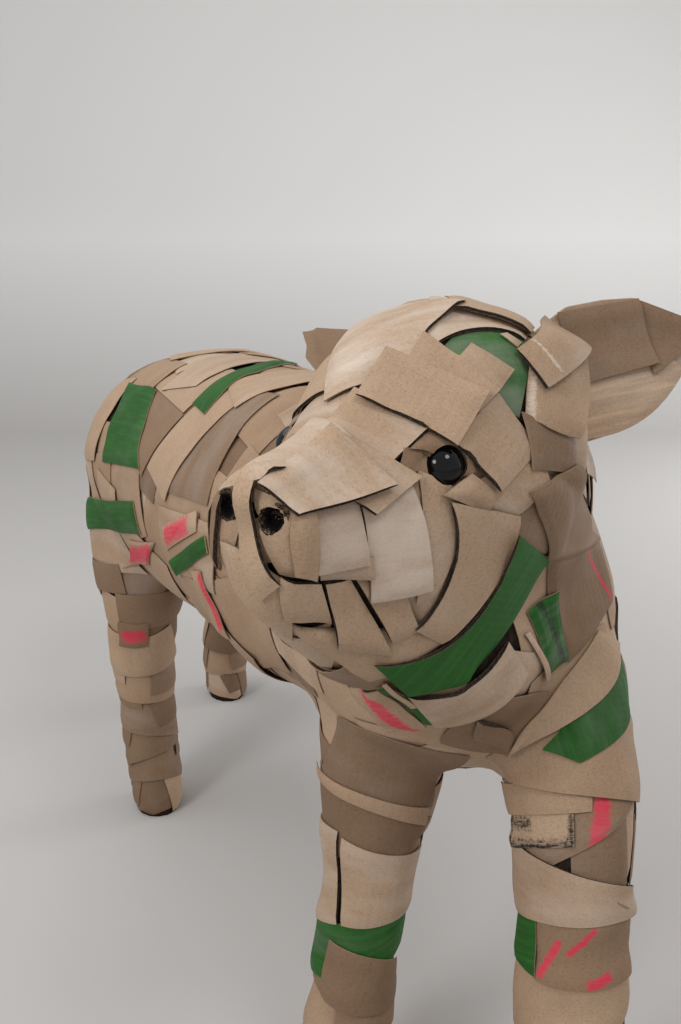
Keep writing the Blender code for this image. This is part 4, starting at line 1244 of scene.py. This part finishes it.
# The plain boards: their style, the sizes that are tried in turn, how far past a board the form counts
# as covered, how far they stay from the dark gaps, how far they may stretch, and how unevenly they
# are cut.
COVER_STYLE = {"thick": 0.0010, "fine": False, "cell": 0.0042, "ease": 5}
COVER_SIZES = (1.0, 0.6, 0.35, 0.2)
COVER_REACH = 0.0036
KEPT_OPEN = 0.003
MOST_STRETCH = 1.5
LENGTH_SLIP, WIDTH_SLIP = 0.003, 0.002

# How often a plain board is brown on the legs and elsewhere, lies across, or has an open edge. The legs'
# higher share darkens them partly as painted shade under the body.
BROWN_ON_LEGS, BROWN_ELSEWHERE = 0.65, 0.15
CROSSWISE = 0.5
OPEN_EDGED = 0.08

# A heading this short along the surface, or a normal this steep, gives a plain board no direction.
LEAST_RUN = 0.2
MOST_STEEP = 0.9

# The legs' boards: thickness and ease at most, how far up each one's middle lies from the bare spot, in
# half widths, how high the feet reach, how far off the floor their boards start, and how high they
# run level. The soles below SOLE_TOP stay bare.
LEG_BOARD = 0.0012
LEG_EASE = 4
LEG_LAP = 0.55
FOOT_TOP = 0.03
FOOT_START = 0.004
LEVEL_TOP = 0.04
SOLE_TOP = 0.005


class Bareness:
    """Which points of the form no board covers yet."""

    def __init__(self):
        self.tree = KDTree(len(FORM.points))
        for i, point in enumerate(FORM.points):
            self.tree.insert(point, i)
        self.tree.balance()
        self.bare = [point.z > SOLE_TOP for point in FORM.points]

    def cover(self, spots):
        for spot in spots:
            for _, i, _ in self.tree.find_range(spot, COVER_REACH):
                self.bare[i] = False


def rough_corners(length, width):
    """A board's corners, cut by eye, half its length and width from its middle."""
    corners = ((-length, -width), (length, -width), (length, width), (-length, width))
    return [
        (x + CHANCE.uniform(-LENGTH_SLIP, LENGTH_SLIP), y + CHANCE.uniform(-WIDTH_SLIP, WIDTH_SLIP))
        for x, y in corners
    ]


def clothe(bareness, pieces, kept_open):
    """Lay plain boards from the feet up and all over until the form is covered."""
    where = [grain_at(point) for point in FORM.points]
    legs = [i for i, name in enumerate(where) if "leg" in name]
    legs.sort(key=lambda i: FORM.points[i].z)
    others = [i for i, name in enumerate(where) if "leg" not in name]
    CHANCE.shuffle(others)
    for i in others + legs:
        if not bareness.bare[i]:
            continue
        name = where[i]
        start, end, _, lengths, widths, spread = GRAIN[name]
        spot, normal = FORM.points[i], FORM.normals[i]
        length, width = CHANCE.uniform(*lengths) / 2, CHANCE.uniform(*widths) / 2
        run = (end - start).normalized()
        if "leg" in name:
            rise = width * LEG_LAP if spot.z > FOOT_TOP else width - spot.z + FOOT_START
            spot = FORM.at(spot + UP * rise)[0]
            normal = FORM.at(spot)[1]
            spread = 0 if spot.z < LEVEL_TOP else spread
            run = UP.cross(normal)
        elif CHANCE.random() < CROSSWISE:
            run = run.cross(normal)
        if (run - normal * run.dot(normal)).length < LEAST_RUN:
            run = UP.cross(normal) if abs(normal.z) < MOST_STEEP else LEFT
        way = turned(run, normal, CHANCE.uniform(-spread, spread))
        brown = CHANCE.random() < (BROWN_ON_LEGS if "leg" in name else BROWN_ELSEWHERE)
        how = style("brown" if brown else "kraft", **COVER_STYLE)
        if CHANCE.random() < OPEN_EDGED:
            how.open = CHANCE.choice("senw")
        for size in COVER_SIZES:
            lay = Bent(how, start=spot, way=way, corners=rough_corners(length * size, width * size))
            spots = lay.footprint()
            if lay.stretch() > MOST_STRETCH:
                continue
            near = min(np.linalg.norm(spots - np.array(gap), axis=1).min() for gap in kept_open)
            if near > KEPT_OPEN:
                lay.lay(pieces[name], how)
                break
        bareness.cover(spots)


def lay_all():
    """Lay the plain boards, then the drawn ones from the lowest up, and build their pieces."""
    body = cleaned("piglet_body")
    bmesh.ops.triangulate(body, faces=body.faces)
    low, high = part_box("piglet_body")
    LAID.append((BVHTree.FromBMesh(body), np.array(low), np.array(high)))
    body.free()
    pieces = {name: Piece(f"{name}_boards") for name in GRAIN}
    bareness = Bareness()
    kept_open = [touched(pixel, 0) for pixel in DARK_GAPS]
    bareness.cover(kept_open)
    boards = []
    for name, region, along, bearing, turn, corners, how in WRAPS:
        start, way = place(region, along, bearing, turn)
        boards.append((name, Bent(how, start=start, way=way, corners=metres(corners)), how))
    for name, kind, pixels, how in BODY_ROWS + FACE:
        boards.append((name, kind(how, pixels), how))
    twins = []
    for name, lay, how in boards:
        if "leg" in name:
            how.thick, how.ease = min(how.thick, LEG_BOARD), min(how.ease, LEG_EASE)
        if name not in OVER_COVERS:
            bareness.cover(lay.footprint())
        if name in MIRRORED:
            other = name[:-5] + "_right" if name.endswith("_left") else name + "_right"
            twins.append((other, mirrored(lay, flipped(how)), flipped(how)))
            bareness.cover(twins[-1][1].footprint())
    clothe(bareness, pieces, kept_open)
    made = list(pieces.values())
    for name, lay, how in twins + boards:
        lay.fit(how)
        piece = Piece(name + "_card", how.finish, (name,) if name in NODES else ())
        lay.lay(piece, how)
        made.append(piece)
    for piece in made:
        if piece.parts:
            piece.build()


# The ears: a leaf of two boards glued face to face, with the other boards on its front. Rows of how
# far a spot is along the leaf and how far it reaches to either side, and how far it stands forward
# across it, from edge to edge.
EAR_THICKNESS = 0.0022
EAR_CELL = 0.0022
EAR_SPOTS_ACROSS = 23
EAR_ROWS = (
    (-0.008, 0.012, 0.010),
    (0.004, 0.021, 0.019),
    (0.017, 0.0270, 0.0255),
    (0.034, 0.0270, 0.0245),
    (0.049, 0.0255, 0.0205),
    (0.062, 0.0165, 0.0115),
    (0.071, 0.0095, 0.0070),
    (0.078, 0.0045, 0.0035),
)
EAR_BENDS = ((-1.0, 0.0030), (-0.5, 0.0006), (0.0, 0.0), (0.55, 0.0008), (1.0, 0.0070))

# Each ear's root and tip on the head, the way that it faces and its side.
EARS = {
    "ear_left": ((0.144, 0.022, 0.0186), (0.213, 0.066, 0.0250), (0.92, 0.35, 0.18), 1),
    "ear_right": ((0.144, -0.034, 0.0110), (0.169, -0.105, 0.0305), (0.12, 0.18, 0.95), -1),
}

# The boards on the left ear by the photograph's pixels, and on the right one in millimetres.
EAR_BOARDS = {
    "ear_left": [
        ("lower_panel", ((577, 439.5), (686, 370), (668, 352), (583, 370)),
         style("kraft_worn", light=0.3, mids=((640, 422), None, None, None))),
        ("tip_panel", ((655, 374), (703, 336), (703, 323), (638, 299)), style("brown", light=0.2, open="s")),
        ("upper_panel", ((585, 384.3), (659.9, 363), (638.5, 297.9), (558, 311.8)),
         style("brown", light=0.2, open="se")),
        ("base_panel", ((523, 415.7), (577, 439.3), (592, 346), (530, 350)),
         style("kraft_pale", light=0.7, open="e", mids=((545, 430), None, None, None),
               marks=(((535, 372), (531, 425), 3.4),))),
        # The fold's pale mark is a painted highlight along its crease.
        ("fold", ((518.5, 348.4), (546, 388.8), (595.4, 345.6), (558.9, 311.3)),
         style("kraft_pale", light=0.7, open="se", thick=0.002, marks=(((533, 336), (563, 376), 1.5),))),
    ],
    "ear_right": [
        ("upper_panel", ((20, -26), (49, -25), (51, 2), (22, 4)), style("brown")),
        ("fold", ((-1, -15), (18, -27), (28, -10), (5, 2)), style("brown")),
    ],
}


def leaf(root, axis, facing, side):
    """The net of an ear's leaf: its back, and the plan of it."""
    first, last = EAR_ROWS[0][0], EAR_ROWS[-1][0]
    rows = np.linspace(first, last, round((last - first) / EAR_CELL) + 1)
    above, below = (np.interp(rows, *np.array(EAR_ROWS).T[[0, k]]) for k in (1, 2))
    across_share = np.linspace(-1, 1, EAR_SPOTS_ACROSS)
    ranks = across_share * side
    reach = np.where(ranks[None, :] > 0, above[:, None], below[:, None])
    y = across_share[None, :] * reach
    x = np.broadcast_to(rows[:, None], y.shape)
    fullness = (above + below) / (EAR_ROWS[2][1] + EAR_ROWS[2][2])
    stand = np.interp(ranks, *np.array(EAR_BENDS).T)[None, :] * fullness[:, None] - EAR_THICKNESS
    sideways = facing.cross(axis)
    net = np.array(root) + x[..., None] * np.array(axis) + y[..., None] * np.array(sideways)
    return net + stand[..., None] * np.array(facing), x, y


def ears():
    for name, (root, tip, (forward, left, upward), side) in EARS.items():
        root, tip = head_point(*root), head_point(*tip)
        axis = (tip - root).normalized()
        facing = HEAD_FORWARD * forward + HEAD_LEFT * left + HEAD_UP * upward
        facing = (facing - axis * facing.dot(axis)).normalized()
        laid = LAID[:]
        LAID.clear()
        how = style("brown" if side < 0 else "kraft", thick=EAR_THICKNESS, light=0.5, whole=True)
        piece = Piece(name + "_card", how.finish, (name,))
        board(piece, *leaf(root, axis, facing, side), how)
        piece.build()
        for part, corners, how in EAR_BOARDS[name]:
            at_root = side > 0 and part in ("base_panel", "fold")
            if at_root and laid:
                LAID.extend(laid)
                laid = []
            pixels = corners if side > 0 else None
            lay = (Draped if at_root else Flat)(how, pixels, (root, facing), axis, corners)
            lay.fit(how)
            piece = Piece(f"{name}_{part}_card", how.finish, (f"{name}_{part}",))
            lay.lay(piece, how)
            piece.build()
        LAID.extend(laid)


# The tail leaves the rump straight and curls once; it is one strip wound round and round.
TAIL_RADIUS = 0.0046
TAIL_SUNK, TAIL_STRAIGHT = 0.009, 0.008
TAIL_STEP = 0.001
TAIL_CURL = 0.0105
TAIL_TURN = math.radians(330)
TAIL_TAPER = 0.45
TAIL_DRIFT = 0.010
TAIL_STRIP = 0.0075
TAIL_PITCH = 0.0058
TAIL_LAP = 0.0009
SPOTS_ROUND_TAIL = 26
SPOTS_OVER_STRIP = 5


def tail_line():
    """Spots along the tail's middle, with the share of its radius at each."""
    spots = [(TAIL_ROOT + BACK * y, 1.0) for y in np.arange(-TAIL_SUNK, TAIL_STRAIGHT, TAIL_STEP)]
    count = round(TAIL_TURN * TAIL_CURL / TAIL_STEP)
    for i in range(count + 1):
        share = i / count
        turn = TAIL_TURN * share
        centre = TAIL_ROOT + Vector((TAIL_DRIFT * share, TAIL_STRAIGHT, TAIL_CURL))
        spot = centre + Vector((0, math.sin(turn), -math.cos(turn))) * TAIL_CURL
        spots.append((spot, 1 - TAIL_TAPER * share))
    return spots


def tail():
    spots = tail_line()
    line = np.array([spot for spot, _ in spots])
    radii = np.array([radius for _, radius in spots]) * TAIL_RADIUS
    runs = np.cumsum(np.r_[0, np.linalg.norm(np.diff(line, axis=0), axis=1)])
    ahead = unit(np.gradient(line, axis=0))
    side = unit(np.cross(ahead, np.array(LEFT)))
    other = np.cross(ahead, side)
    turns = (runs[-1] - TAIL_STRIP) / TAIL_PITCH
    angles = np.linspace(0, 2 * math.pi * turns, round(turns * SPOTS_ROUND_TAIL))
    widths = np.linspace(0, TAIL_STRIP, SPOTS_OVER_STRIP)
    along = angles[:, None] / (2 * math.pi) * TAIL_PITCH + widths[None, :]
    spot, out, up, radius = (
        np.stack([np.interp(along, runs, values[:, k]) for k in range(values.shape[1])], axis=-1)
        for values in (line, side, other, radii[:, None])
    )
    rise = radius - THIN_BOARD + (1 - widths / TAIL_STRIP)[None, :, None] * TAIL_LAP - TAIL_LAP
    net = spot + (out * np.cos(angles)[:, None, None] + up * np.sin(angles)[:, None, None]) * rise
    x = np.broadcast_to((angles * TAIL_RADIUS)[:, None], along.shape)
    y = np.broadcast_to(widths[None, :], along.shape)
    piece = Piece("tail_card", "kraft", ("tail",))
    how = style(thick=THIN_BOARD, light=0.4, whole=True)
    board(piece, net, x, y, how)
    piece.build()


# The torn board round each nostril, as rings of a radius and a depth.
NOSTRIL_RINGS = (
    (0.0050, -0.0004),
    (0.0045, 0.0001),
    (0.0039, 0.0001),
    (0.0033, -0.0004),
    (0.0028, -0.0011),
    (0.0025, -0.0019),
    (0.0018, -0.0023),
    (0.0006, -0.0024),
)
# How far out the inner rows of the torn board are painted near black, as painted shade down the nostril.
NOSTRIL_SHADE_REACH = 0.0032
TORN_THICKNESS = 0.0005
TORN_STEPS = 56
TORN_ROUGH = 0.00014
TORN_PLAN = (0.001, 0.004)

# The rim turns this much from the form's normal towards the front. Its level is read from the boards
# round it: at some spots on a circle, from a height down, and then their lower part, in percent.
RIM_FORWARD = 0.5
RIM_SPOTS = 16
RIM_CIRCLE = 0.0052
RIM_HEIGHT = 0.01
RIM_LOWER = 40


def nostril_rims():
    for side, spot in TORN_NOSTRILS.items():
        axis = (FORM.at(spot)[1] + HEAD_FORWARD * RIM_FORWARD).normalized()
        left = HEAD_UP.cross(axis).normalized()
        up = axis.cross(left)
        levels = []
        for turn in np.linspace(0, 2 * math.pi, RIM_SPOTS, endpoint=False):
            start = spot + (left * math.cos(turn) + up * math.sin(turn)) * RIM_CIRCLE + axis * RIM_HEIGHT
            hits = [tree.ray_cast(start, -axis, 2 * RIM_HEIGHT)[0] for tree, _, _ in LAID]
            levels.append(max((hit - spot).dot(axis) for hit in hits if hit is not None))
        level = float(np.percentile(levels, RIM_LOWER))
        turns = np.linspace(0, 2 * math.pi, TORN_STEPS + 1)
        net = []
        for radius, depth in NOSTRIL_RINGS:
            row = []
            for _ in turns[:-1]:
                wide, high = CHANCE.gauss(0, TORN_ROUGH), CHANCE.gauss(0, TORN_ROUGH)
                row.append((radius + wide, level + depth + high))
            row.append(row[0])
            row = np.array(row)
            out = np.cos(turns)[:, None] * np.array(left) + np.sin(turns)[:, None] * np.array(up)
            net.append(np.array(spot) + out * row[:, :1] + np.array(axis) * row[:, 1:])
        net = np.array(net)[::-1]
        x, y = np.meshgrid(np.arange(len(net)) * TORN_PLAN[0], turns * TORN_PLAN[1], indexing="ij")
        outward = unit(np.cross(np.gradient(net, axis=0), np.gradient(net, axis=1)))
        if outward.reshape(-1, 3).mean(0) @ np.array(axis) < 0:
            net, x, y = net[:, ::-1], x[:, ::-1], y[:, ::-1]
        how = style("torn", thick=TORN_THICKNESS, whole=True, light=0.5)
        piece = Piece("nostril_rim_left" if side > 0 else "nostril_rim_right", "brown")
        # The inner rows get a near-black mark: painted shade down the nostril.
        hole_shade = (-0.003, 0.011), (NOSTRIL_SHADE_REACH, 0.011), 0.1
        board(piece, net, x, y, how, [hole_shade])
        piece.build()


# How far the bead's surface strays from a true ball, and how far its poles are pressed in.
BEAD_DENT = 0.00010
BEAD_DENT_SIZE = 0.0035
BEAD_PRESSED = 0.04
BEAD_AROUND, BEAD_DOWN = 64, 40


def eyes():
    for name, centre in EYES.items():
        out = EYE_OUT[name]
        bm = bmesh.new()
        bmesh.ops.create_uvsphere(bm, u_segments=BEAD_AROUND, v_segments=BEAD_DOWN, radius=EYE_RADIUS)
        for vert in bm.verts:
            along = vert.co.dot(out)
            dent = noise.noise(vert.co / BEAD_DENT_SIZE) * BEAD_DENT
            vert.co += vert.co.normalized() * dent - out * (along * BEAD_PRESSED)
        bmesh.ops.translate(bm, verts=bm.verts, vec=centre + out * EYE_PROUD)
        mesh = bpy.data.meshes.new(name + "_bead")
        bm.to_mesh(mesh)
        bm.free()
        mesh.materials.append(eye_material())
        mesh.shade_smooth()
        obj = linked(name + "_bead", mesh)
        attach(obj, "root")
        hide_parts(name)


def node(tree, kind, inputs=(), **settings):
    """A shader node, whose inputs are given as values or as other nodes' outputs."""
    made = tree.nodes.new(kind)
    for key, value in settings.items():
        setattr(made, key, value)
    for key, value in dict(inputs).items():
        if isinstance(value, bpy.types.NodeSocket):
            tree.links.new(value, made.inputs[key])
        else:
            made.inputs[key].default_value = value
    return made


class Shader:
    """Short ways to make a material's nodes."""

    def __init__(self, name, colour, roughness, specular=0.5):
        self.material = bpy.data.materials.new(name)
        self.material.use_nodes = True
        self.tree = self.material.node_tree
        self.surface = self.tree.nodes["Principled BSDF"]
        self.surface.inputs["Base Color"].default_value = (*colour, 1)
        self.surface.inputs["Roughness"].default_value = roughness
        self.surface.inputs["Specular IOR Level"].default_value = specular
        self.place = node(self.tree, "ShaderNodeTexCoord").outputs["Object"]
        self.plan = node(self.tree, "ShaderNodeUVMap", uv_map="plan").outputs["UV"]
        tone = node(self.tree, "ShaderNodeAttribute", attribute_name="tone")
        parts = node(self.tree, "ShaderNodeSeparateColor", {"Color": tone.outputs["Color"]})
        self.light, self.gloss, self.along = (parts.outputs[k] for k in ("Red", "Green", "Blue"))
        self.across = tone.outputs["Alpha"]

    def maths(self, operation, a, b=0.0, c=0.0):
        return node(self.tree, "ShaderNodeMath", {0: a, 1: b, 2: c}, operation=operation).outputs[0]

    def stretched(self, source, scale):
        return node(self.tree, "ShaderNodeMapping", {"Vector": source, "Scale": scale}).outputs["Vector"]

    def noise(self, source, scale, detail=2.0, rough=0.5):
        return node(
            self.tree,
            "ShaderNodeTexNoise",
            {"Vector": source, "Scale": scale, "Detail": detail, "Roughness": rough},
        ).outputs["Fac"]

    def grained(self, scale, detail=3.0, rough=0.6):
        """Noise drawn out over the board's plan."""
        return self.noise(self.stretched(self.plan, (*scale, 1)), 1.0, detail, rough)

    def ramp(self, value, low, high, to_low=0.0, to_high=1.0):
        return node(
            self.tree,
            "ShaderNodeMapRange",
            {"Value": value, "From Min": low, "From Max": high, "To Min": to_low, "To Max": to_high},
            clamp=True,
        ).outputs["Result"]

    def mix(self, share, a, b, blend="MIX"):
        made = node(self.tree, "ShaderNodeMix", data_type="RGBA", blend_type=blend)
        for socket, value in zip((made.inputs[0], made.inputs[6], made.inputs[7]), (share, a, b)):
            if isinstance(value, bpy.types.NodeSocket):
                self.tree.links.new(value, socket)
            else:
                socket.default_value = (*value, 1) if isinstance(value, tuple) else value
        return made.outputs[2]

    def veiled(self, colour, value, low, high, most, veil):
        """A colour under another, which comes up to a share as a value runs from low to high."""
        return self.mix(self.ramp(value, low, high, 0.0, most), colour, veil)

    def paint(self, colour):
        self.tree.links.new(colour, self.surface.inputs["Base Color"])

    def roughen(self, roughness):
        self.tree.links.new(roughness, self.surface.inputs["Roughness"])

    def bump(self, height, depth):
        made = node(self.tree, "ShaderNodeBump", {"Height": height, "Strength": 1.0, "Distance": depth})
        self.tree.links.new(made.outputs["Normal"], self.surface.inputs["Normal"])


def times(colour, share):
    return tuple(min(1.0, part * share) for part in colour)


def marked(shader, colour, mark, ragged):
    """A colour with the marks on it that some boards carry: brushed paint and ink, a painted highlight along
    the ear's fold, and painted shade down the nostrils.
    """
    rag = shader.noise(shader.place, 700, 4.0, 0.75)
    edge = shader.maths("ADD", shader.across, shader.ramp(rag, 0.3, 0.7, -ragged, ragged))
    share = shader.ramp(edge, 1.05 - ragged * 1.2, 1.1, 1.0, 0.0)
    worn = shader.ramp(shader.grained((120, 900), 3.0, 0.7), 0.36, 0.54, 1.0 - ragged, 1.0)
    return shader.mix(shader.maths("MULTIPLY", share, worn), colour, mark)


def board_material(name, pale, dark, mark, ragged, streaks):
    """Recycled board: specks and short fibres, soft cloudy tones, creases and patches of dry glue, whose
    whitish veil is partly a painted sheen.
    """
    shader = Shader(name, pale, 0.7, 0.3)
    fibres = shader.grained((700, 1500))
    specks = shader.noise(shader.place, 1300, 2.0, 0.6)
    cloud = shader.noise(shader.place, 38, 4.0, 0.6)
    wear = shader.noise(shader.place, 140, 5.0, 0.7)
    share = shader.maths("MULTIPLY", shader.light, 0.7)
    share = shader.maths("ADD", share, shader.ramp(cloud, 0.3, 0.7, -0.15, 0.3))
    colour = shader.mix(share, pale, dark)
    colour = shader.veiled(colour, fibres, 0.50, 0.72, 0.32, times(dark, 0.5))
    colour = shader.veiled(colour, specks, 0.57, 0.70, 0.32, times(dark, 0.4))
    colour = shader.veiled(colour, specks, 0.42, 0.30, 0.22, times(pale, 1.4))
    colour = shader.veiled(colour, wear, 0.60, 0.80, 0.30, times(dark, 0.75))
    if streaks:
        colour = shader.veiled(colour, shader.grained((30, 420)), 0.45, 0.75, streaks, times(pale, 1.9))
    glue = shader.ramp(shader.grained((18, 60), 4.0), 0.36, 0.62)
    glue_sheen = shader.maths("MULTIPLY", glue, shader.gloss)
    if mark:
        colour = marked(shader, colour, mark, ragged)
    # Where the glue lies, the colour is veiled whitish: partly the dry glue's film and partly a painted
    # sheen. The glue also lowers the roughness.
    shader.paint(shader.veiled(colour, glue_sheen, 0.1, 1.0, 0.42, times(GLUE_SHEEN, pale[1] * 2.4)))
    shader.roughen(shader.ramp(glue_sheen, 0.0, 1.0, 0.72, 0.26))
    flutes = node(
        shader.tree,
        "ShaderNodeTexWave",
        {"Vector": shader.stretched(shader.plan, (1, 0, 0)), "Scale": 100.0, "Distortion": 0.0},
        wave_type="BANDS",
        bands_direction="X",
    ).outputs["Fac"]
    creases = shader.grained((160, 45), 3.0, 0.5)
    height = shader.maths("MULTIPLY_ADD", fibres, 0.25, creases)
    shader.bump(shader.maths("MULTIPLY_ADD", flutes, 0.25, height), 0.00018)
    return shader.material


# The length of a wave of the board's fluted core.
FLUTE = 0.0034


def edge_material(name, pale, dark):
    """A cut edge: pale liners with the fluted core between them, painted near black between the flutes as
    shade inside them, or pressed flat and pale.
    """
    shader = Shader(name, pale, 0.85)
    cut = node(shader.tree, "ShaderNodeAttribute", attribute_name="cut").outputs["Fac"]
    parts = node(shader.tree, "ShaderNodeSeparateXYZ", {"Vector": shader.plan})
    along, through = parts.outputs["X"], parts.outputs["Y"]
    swing = shader.maths("SINE", shader.maths("MULTIPLY", along, 2 * math.pi / FLUTE))
    middle = shader.maths("MULTIPLY_ADD", swing, 0.24, 0.5)
    off_wave, off_middle = (
        shader.maths("ABSOLUTE", shader.maths("SUBTRACT", through, line)) for line in (middle, 0.5)
    )
    flute = shader.ramp(off_wave, 0.05, 0.12, 1.0, 0.0)
    liner = shader.ramp(off_middle, 0.34, 0.40)
    rag = shader.noise(shader.place, 900, 3.0, 0.7)
    # Near black between the flute arcs: painted shade inside the open flutes.
    core = shader.mix(rag, (0.010, 0.007, 0.005), (0.040, 0.025, 0.016))
    flute_seen = shader.maths("MULTIPLY", flute, shader.ramp(rag, 0.3, 0.6))
    core = shader.mix(flute_seen, core, (0.10, 0.062, 0.038))
    liner_seen = shader.maths("MULTIPLY", liner, shader.ramp(rag, 0.35, 0.6))
    core = shader.mix(liner_seen, core, times(dark, 0.6))
    pressed = shader.mix(rag, times(dark, 0.55), times(pale, 0.95))
    shader.paint(shader.mix(cut, pressed, core))
    shader.bump(rag, 0.0003)
    return shader.material


def torn_material(name, pale, dark):
    """Board torn open: grey and brown shreds with near black between them as painted shade in the tears, and
    near-black painted shade on the inner rows down the hole.
    """
    shader = Shader(name, pale, 0.9, 0.1)
    shreds = shader.noise(shader.place, 520, 4.0, 0.7)
    fine = shader.noise(shader.place, 1700, 2.0, 0.6)
    colour = shader.mix(shader.ramp(fine, 0.3, 0.7), times(dark, 0.5), times(pale, 0.8))
    # Near black between the shreds: painted shade in the tears.
    colour = shader.veiled(colour, shreds, 0.46, 0.58, 1.0, (0.012, 0.009, 0.008))
    # The mark paints the inner rows near black: painted shade down the hole.
    shader.paint(marked(shader, colour, (0.004, 0.003, 0.003), 0.02))
    shader.bump(shreds, 0.0006)
    return shader.material


def body_material(name):
    """The inner layers that show between the boards, painted near black as shade in the gaps."""
    # Near black, as painted shade in the gaps between the boards.
    shader = Shader(name, (0.012, 0.009, 0.007), 0.95, 0.1)
    shreds = shader.noise(shader.place, 300, 4.0, 0.7)
    shader.paint(shader.mix(shader.ramp(shreds, 0.35, 0.7), (0.008, 0.006, 0.005), (0.035, 0.023, 0.016)))
    shader.bump(shreds, 0.0005)
    return shader.material


def eye_material():
    """Black glass with faint smears on it."""
    shader = Shader("eye_bead", (0.002, 0.002, 0.002), 0.05, 0.3)
    shader.roughen(shader.ramp(shader.noise(shader.place, 260, 4.0, 0.6), 0.35, 0.75, 0.03, 0.16))
    return shader.material


# Dried glue, whitish over the board; on glossy boards this whitish veil is also a painted sheen.
GLUE_SHEEN = (1.0, 0.92, 0.84)

# Each board's colour where it is lightest and darkest, and the marks with how ragged they are: brushed paint
# and ink, and a pale one that is partly a painted highlight.
BASES = {
    "kraft": ((0.430, 0.300, 0.200), (0.290, 0.184, 0.112)),
    "brown": ((0.245, 0.156, 0.095), (0.165, 0.098, 0.057)),
    "green": ((0.0165, 0.118, 0.011), (0.0085, 0.060, 0.005)),
}
MARKS = {
    "pink": ((0.60, 0.032, 0.072), 0.4),
    "ink": ((0.012, 0.010, 0.010), 0.7),
    # The pale mark is glue streaks on the ear's base panel and a painted highlight along the crease of its
    # fold.
    "pale": ((0.52, 0.42, 0.34), 0.5),
}
STREAKS = 0.35


def materials():
    """The material of each finish, by its name."""
    kraft = BASES["kraft"]
    made = {"edge": edge_material("cut_edge", *kraft), "torn": torn_material("torn_board", *kraft)}
    for finish in FINISHES:
        base, _, mark = finish.partition("_")
        if base in BASES:
            streaks = STREAKS if base == "green" or mark == "worn" else 0.0
            paint = MARKS.get(mark, (None, 0))
            made[finish] = board_material(f"{finish}_board", *BASES[base], *paint, streaks)
    return made


MATERIALS = materials()
BODY = body_material("inner_board_painted_shade")
for name, obj in NODES.items():
    obj.data.materials.clear()
    obj.data.materials.append(BODY if name == "piglet_body" else MATERIALS["brown"])

lay_all()
ears()
tail()
nostril_rims()
eyes()


# The backdrop's colours, and the height over which the floor's runs into the wall's. The floor is coloured
# darker than the wall as painted shade, which evens out the stronger light on the floor.
WALL = (0.80, 0.797, 0.79)
FLOOR = (0.48, 0.468, 0.46)
FLOOR_FADE = 0.4

# The backdrop's shape: half its width, where it starts and ends along the view, the radius of its
# sweep and its height.
HALF_WIDE = 3.5
NEAR_END, FAR_END = -1.6, 2.0
SWEEP = 0.5
SWEEP_STEPS = 17
WALL_TOP = 3.0


def backdrop():
    """A pale floor, darker as painted shade, that sweeps up into a pale wall behind the piglet."""
    ahead = Vector((AHEAD.x, AHEAD.y, 0)).normalized()
    side = Vector((RIGHT.x, RIGHT.y, 0)).normalized()
    rows = [(NEAR_END, 0.0)]
    for turn in np.linspace(0, math.pi / 2, SWEEP_STEPS):
        rows.append((FAR_END - SWEEP + SWEEP * math.sin(turn), SWEEP - SWEEP * math.cos(turn)))
    rows.append((FAR_END, WALL_TOP))
    bm = bmesh.new()
    verts = []
    for out, rise in rows:
        middle = ahead * out + UP * rise
        verts.append([bm.verts.new(middle + side * aside) for aside in (-HALF_WIDE, HALF_WIDE)])
    for near, far in zip(verts, verts[1:]):
        bm.faces.new((near[0], near[1], far[1], far[0]))
    mesh = bpy.data.meshes.new("backdrop")
    bm.to_mesh(mesh)
    bm.free()
    mesh.shade_smooth()
    shader = Shader("pale_backdrop", WALL, 0.9)
    height = node(shader.tree, "ShaderNodeSeparateXYZ", {"Vector": shader.place}).outputs["Z"]
    shader.paint(shader.mix(shader.ramp(height, 0.0, FLOOR_FADE), FLOOR, WALL))
    mesh.materials.append(shader.material)
    linked("backdrop", mesh)


def lamp(name, at, aim, size, power):
    data = bpy.data.lights.new(name, "AREA")
    data.shape = "DISK"
    data.size = size
    data.energy = power
    obj = linked(name, data)
    obj.location = at
    obj.rotation_mode = "QUATERNION"
    obj.rotation_quaternion = (Vector(aim) - Vector(at)).to_track_quat("-Z", "Y")


# The soft lamps: place, aim, size and power.
LAMPS = (
    ("overhead", (-0.55, 0.45, 1.4), (0, -0.05, 0.25), 1.2, 6),
    ("side", AHEAD * 0.8 + RIGHT * 1.3 + UP * 0.6, AHEAD * 1.0 + RIGHT * 0.45 - UP * 0.1, 0.8, 9),
)

# The lamps whose small reflections show in the bead of the eye: way from it, size and power.
WINDOWS = (("window_above", (0.36, 0.72, 0.62), 0.5, 5.5), ("window_left", (-0.67, 0.36, 0.62), 0.5, 7.5))
WINDOW_AWAY = 1.4
SKY = (1.0, 0.99, 0.975)
SKY_POWER = 0.60


def studio():
    """Soft light from all round, two soft lamps and the two that show in the eye."""
    world = bpy.data.worlds.new("studio")
    bpy.context.scene.world = world
    world.use_nodes = True
    sky = world.node_tree.nodes["Background"].inputs
    sky["Color"].default_value = (*SKY, 1)
    sky["Strength"].default_value = SKY_POWER
    bpy.context.scene.view_settings.view_transform = "Standard"
    for settings in LAMPS:
        lamp(*settings)
    eye = EYES["eye_left"]
    for name, (right, up, near), size, power in WINDOWS:
        lamp(name, eye + (RIGHT * right + ABOVE * up - AHEAD * near) * WINDOW_AWAY, eye, size, power)


backdrop()
studio()
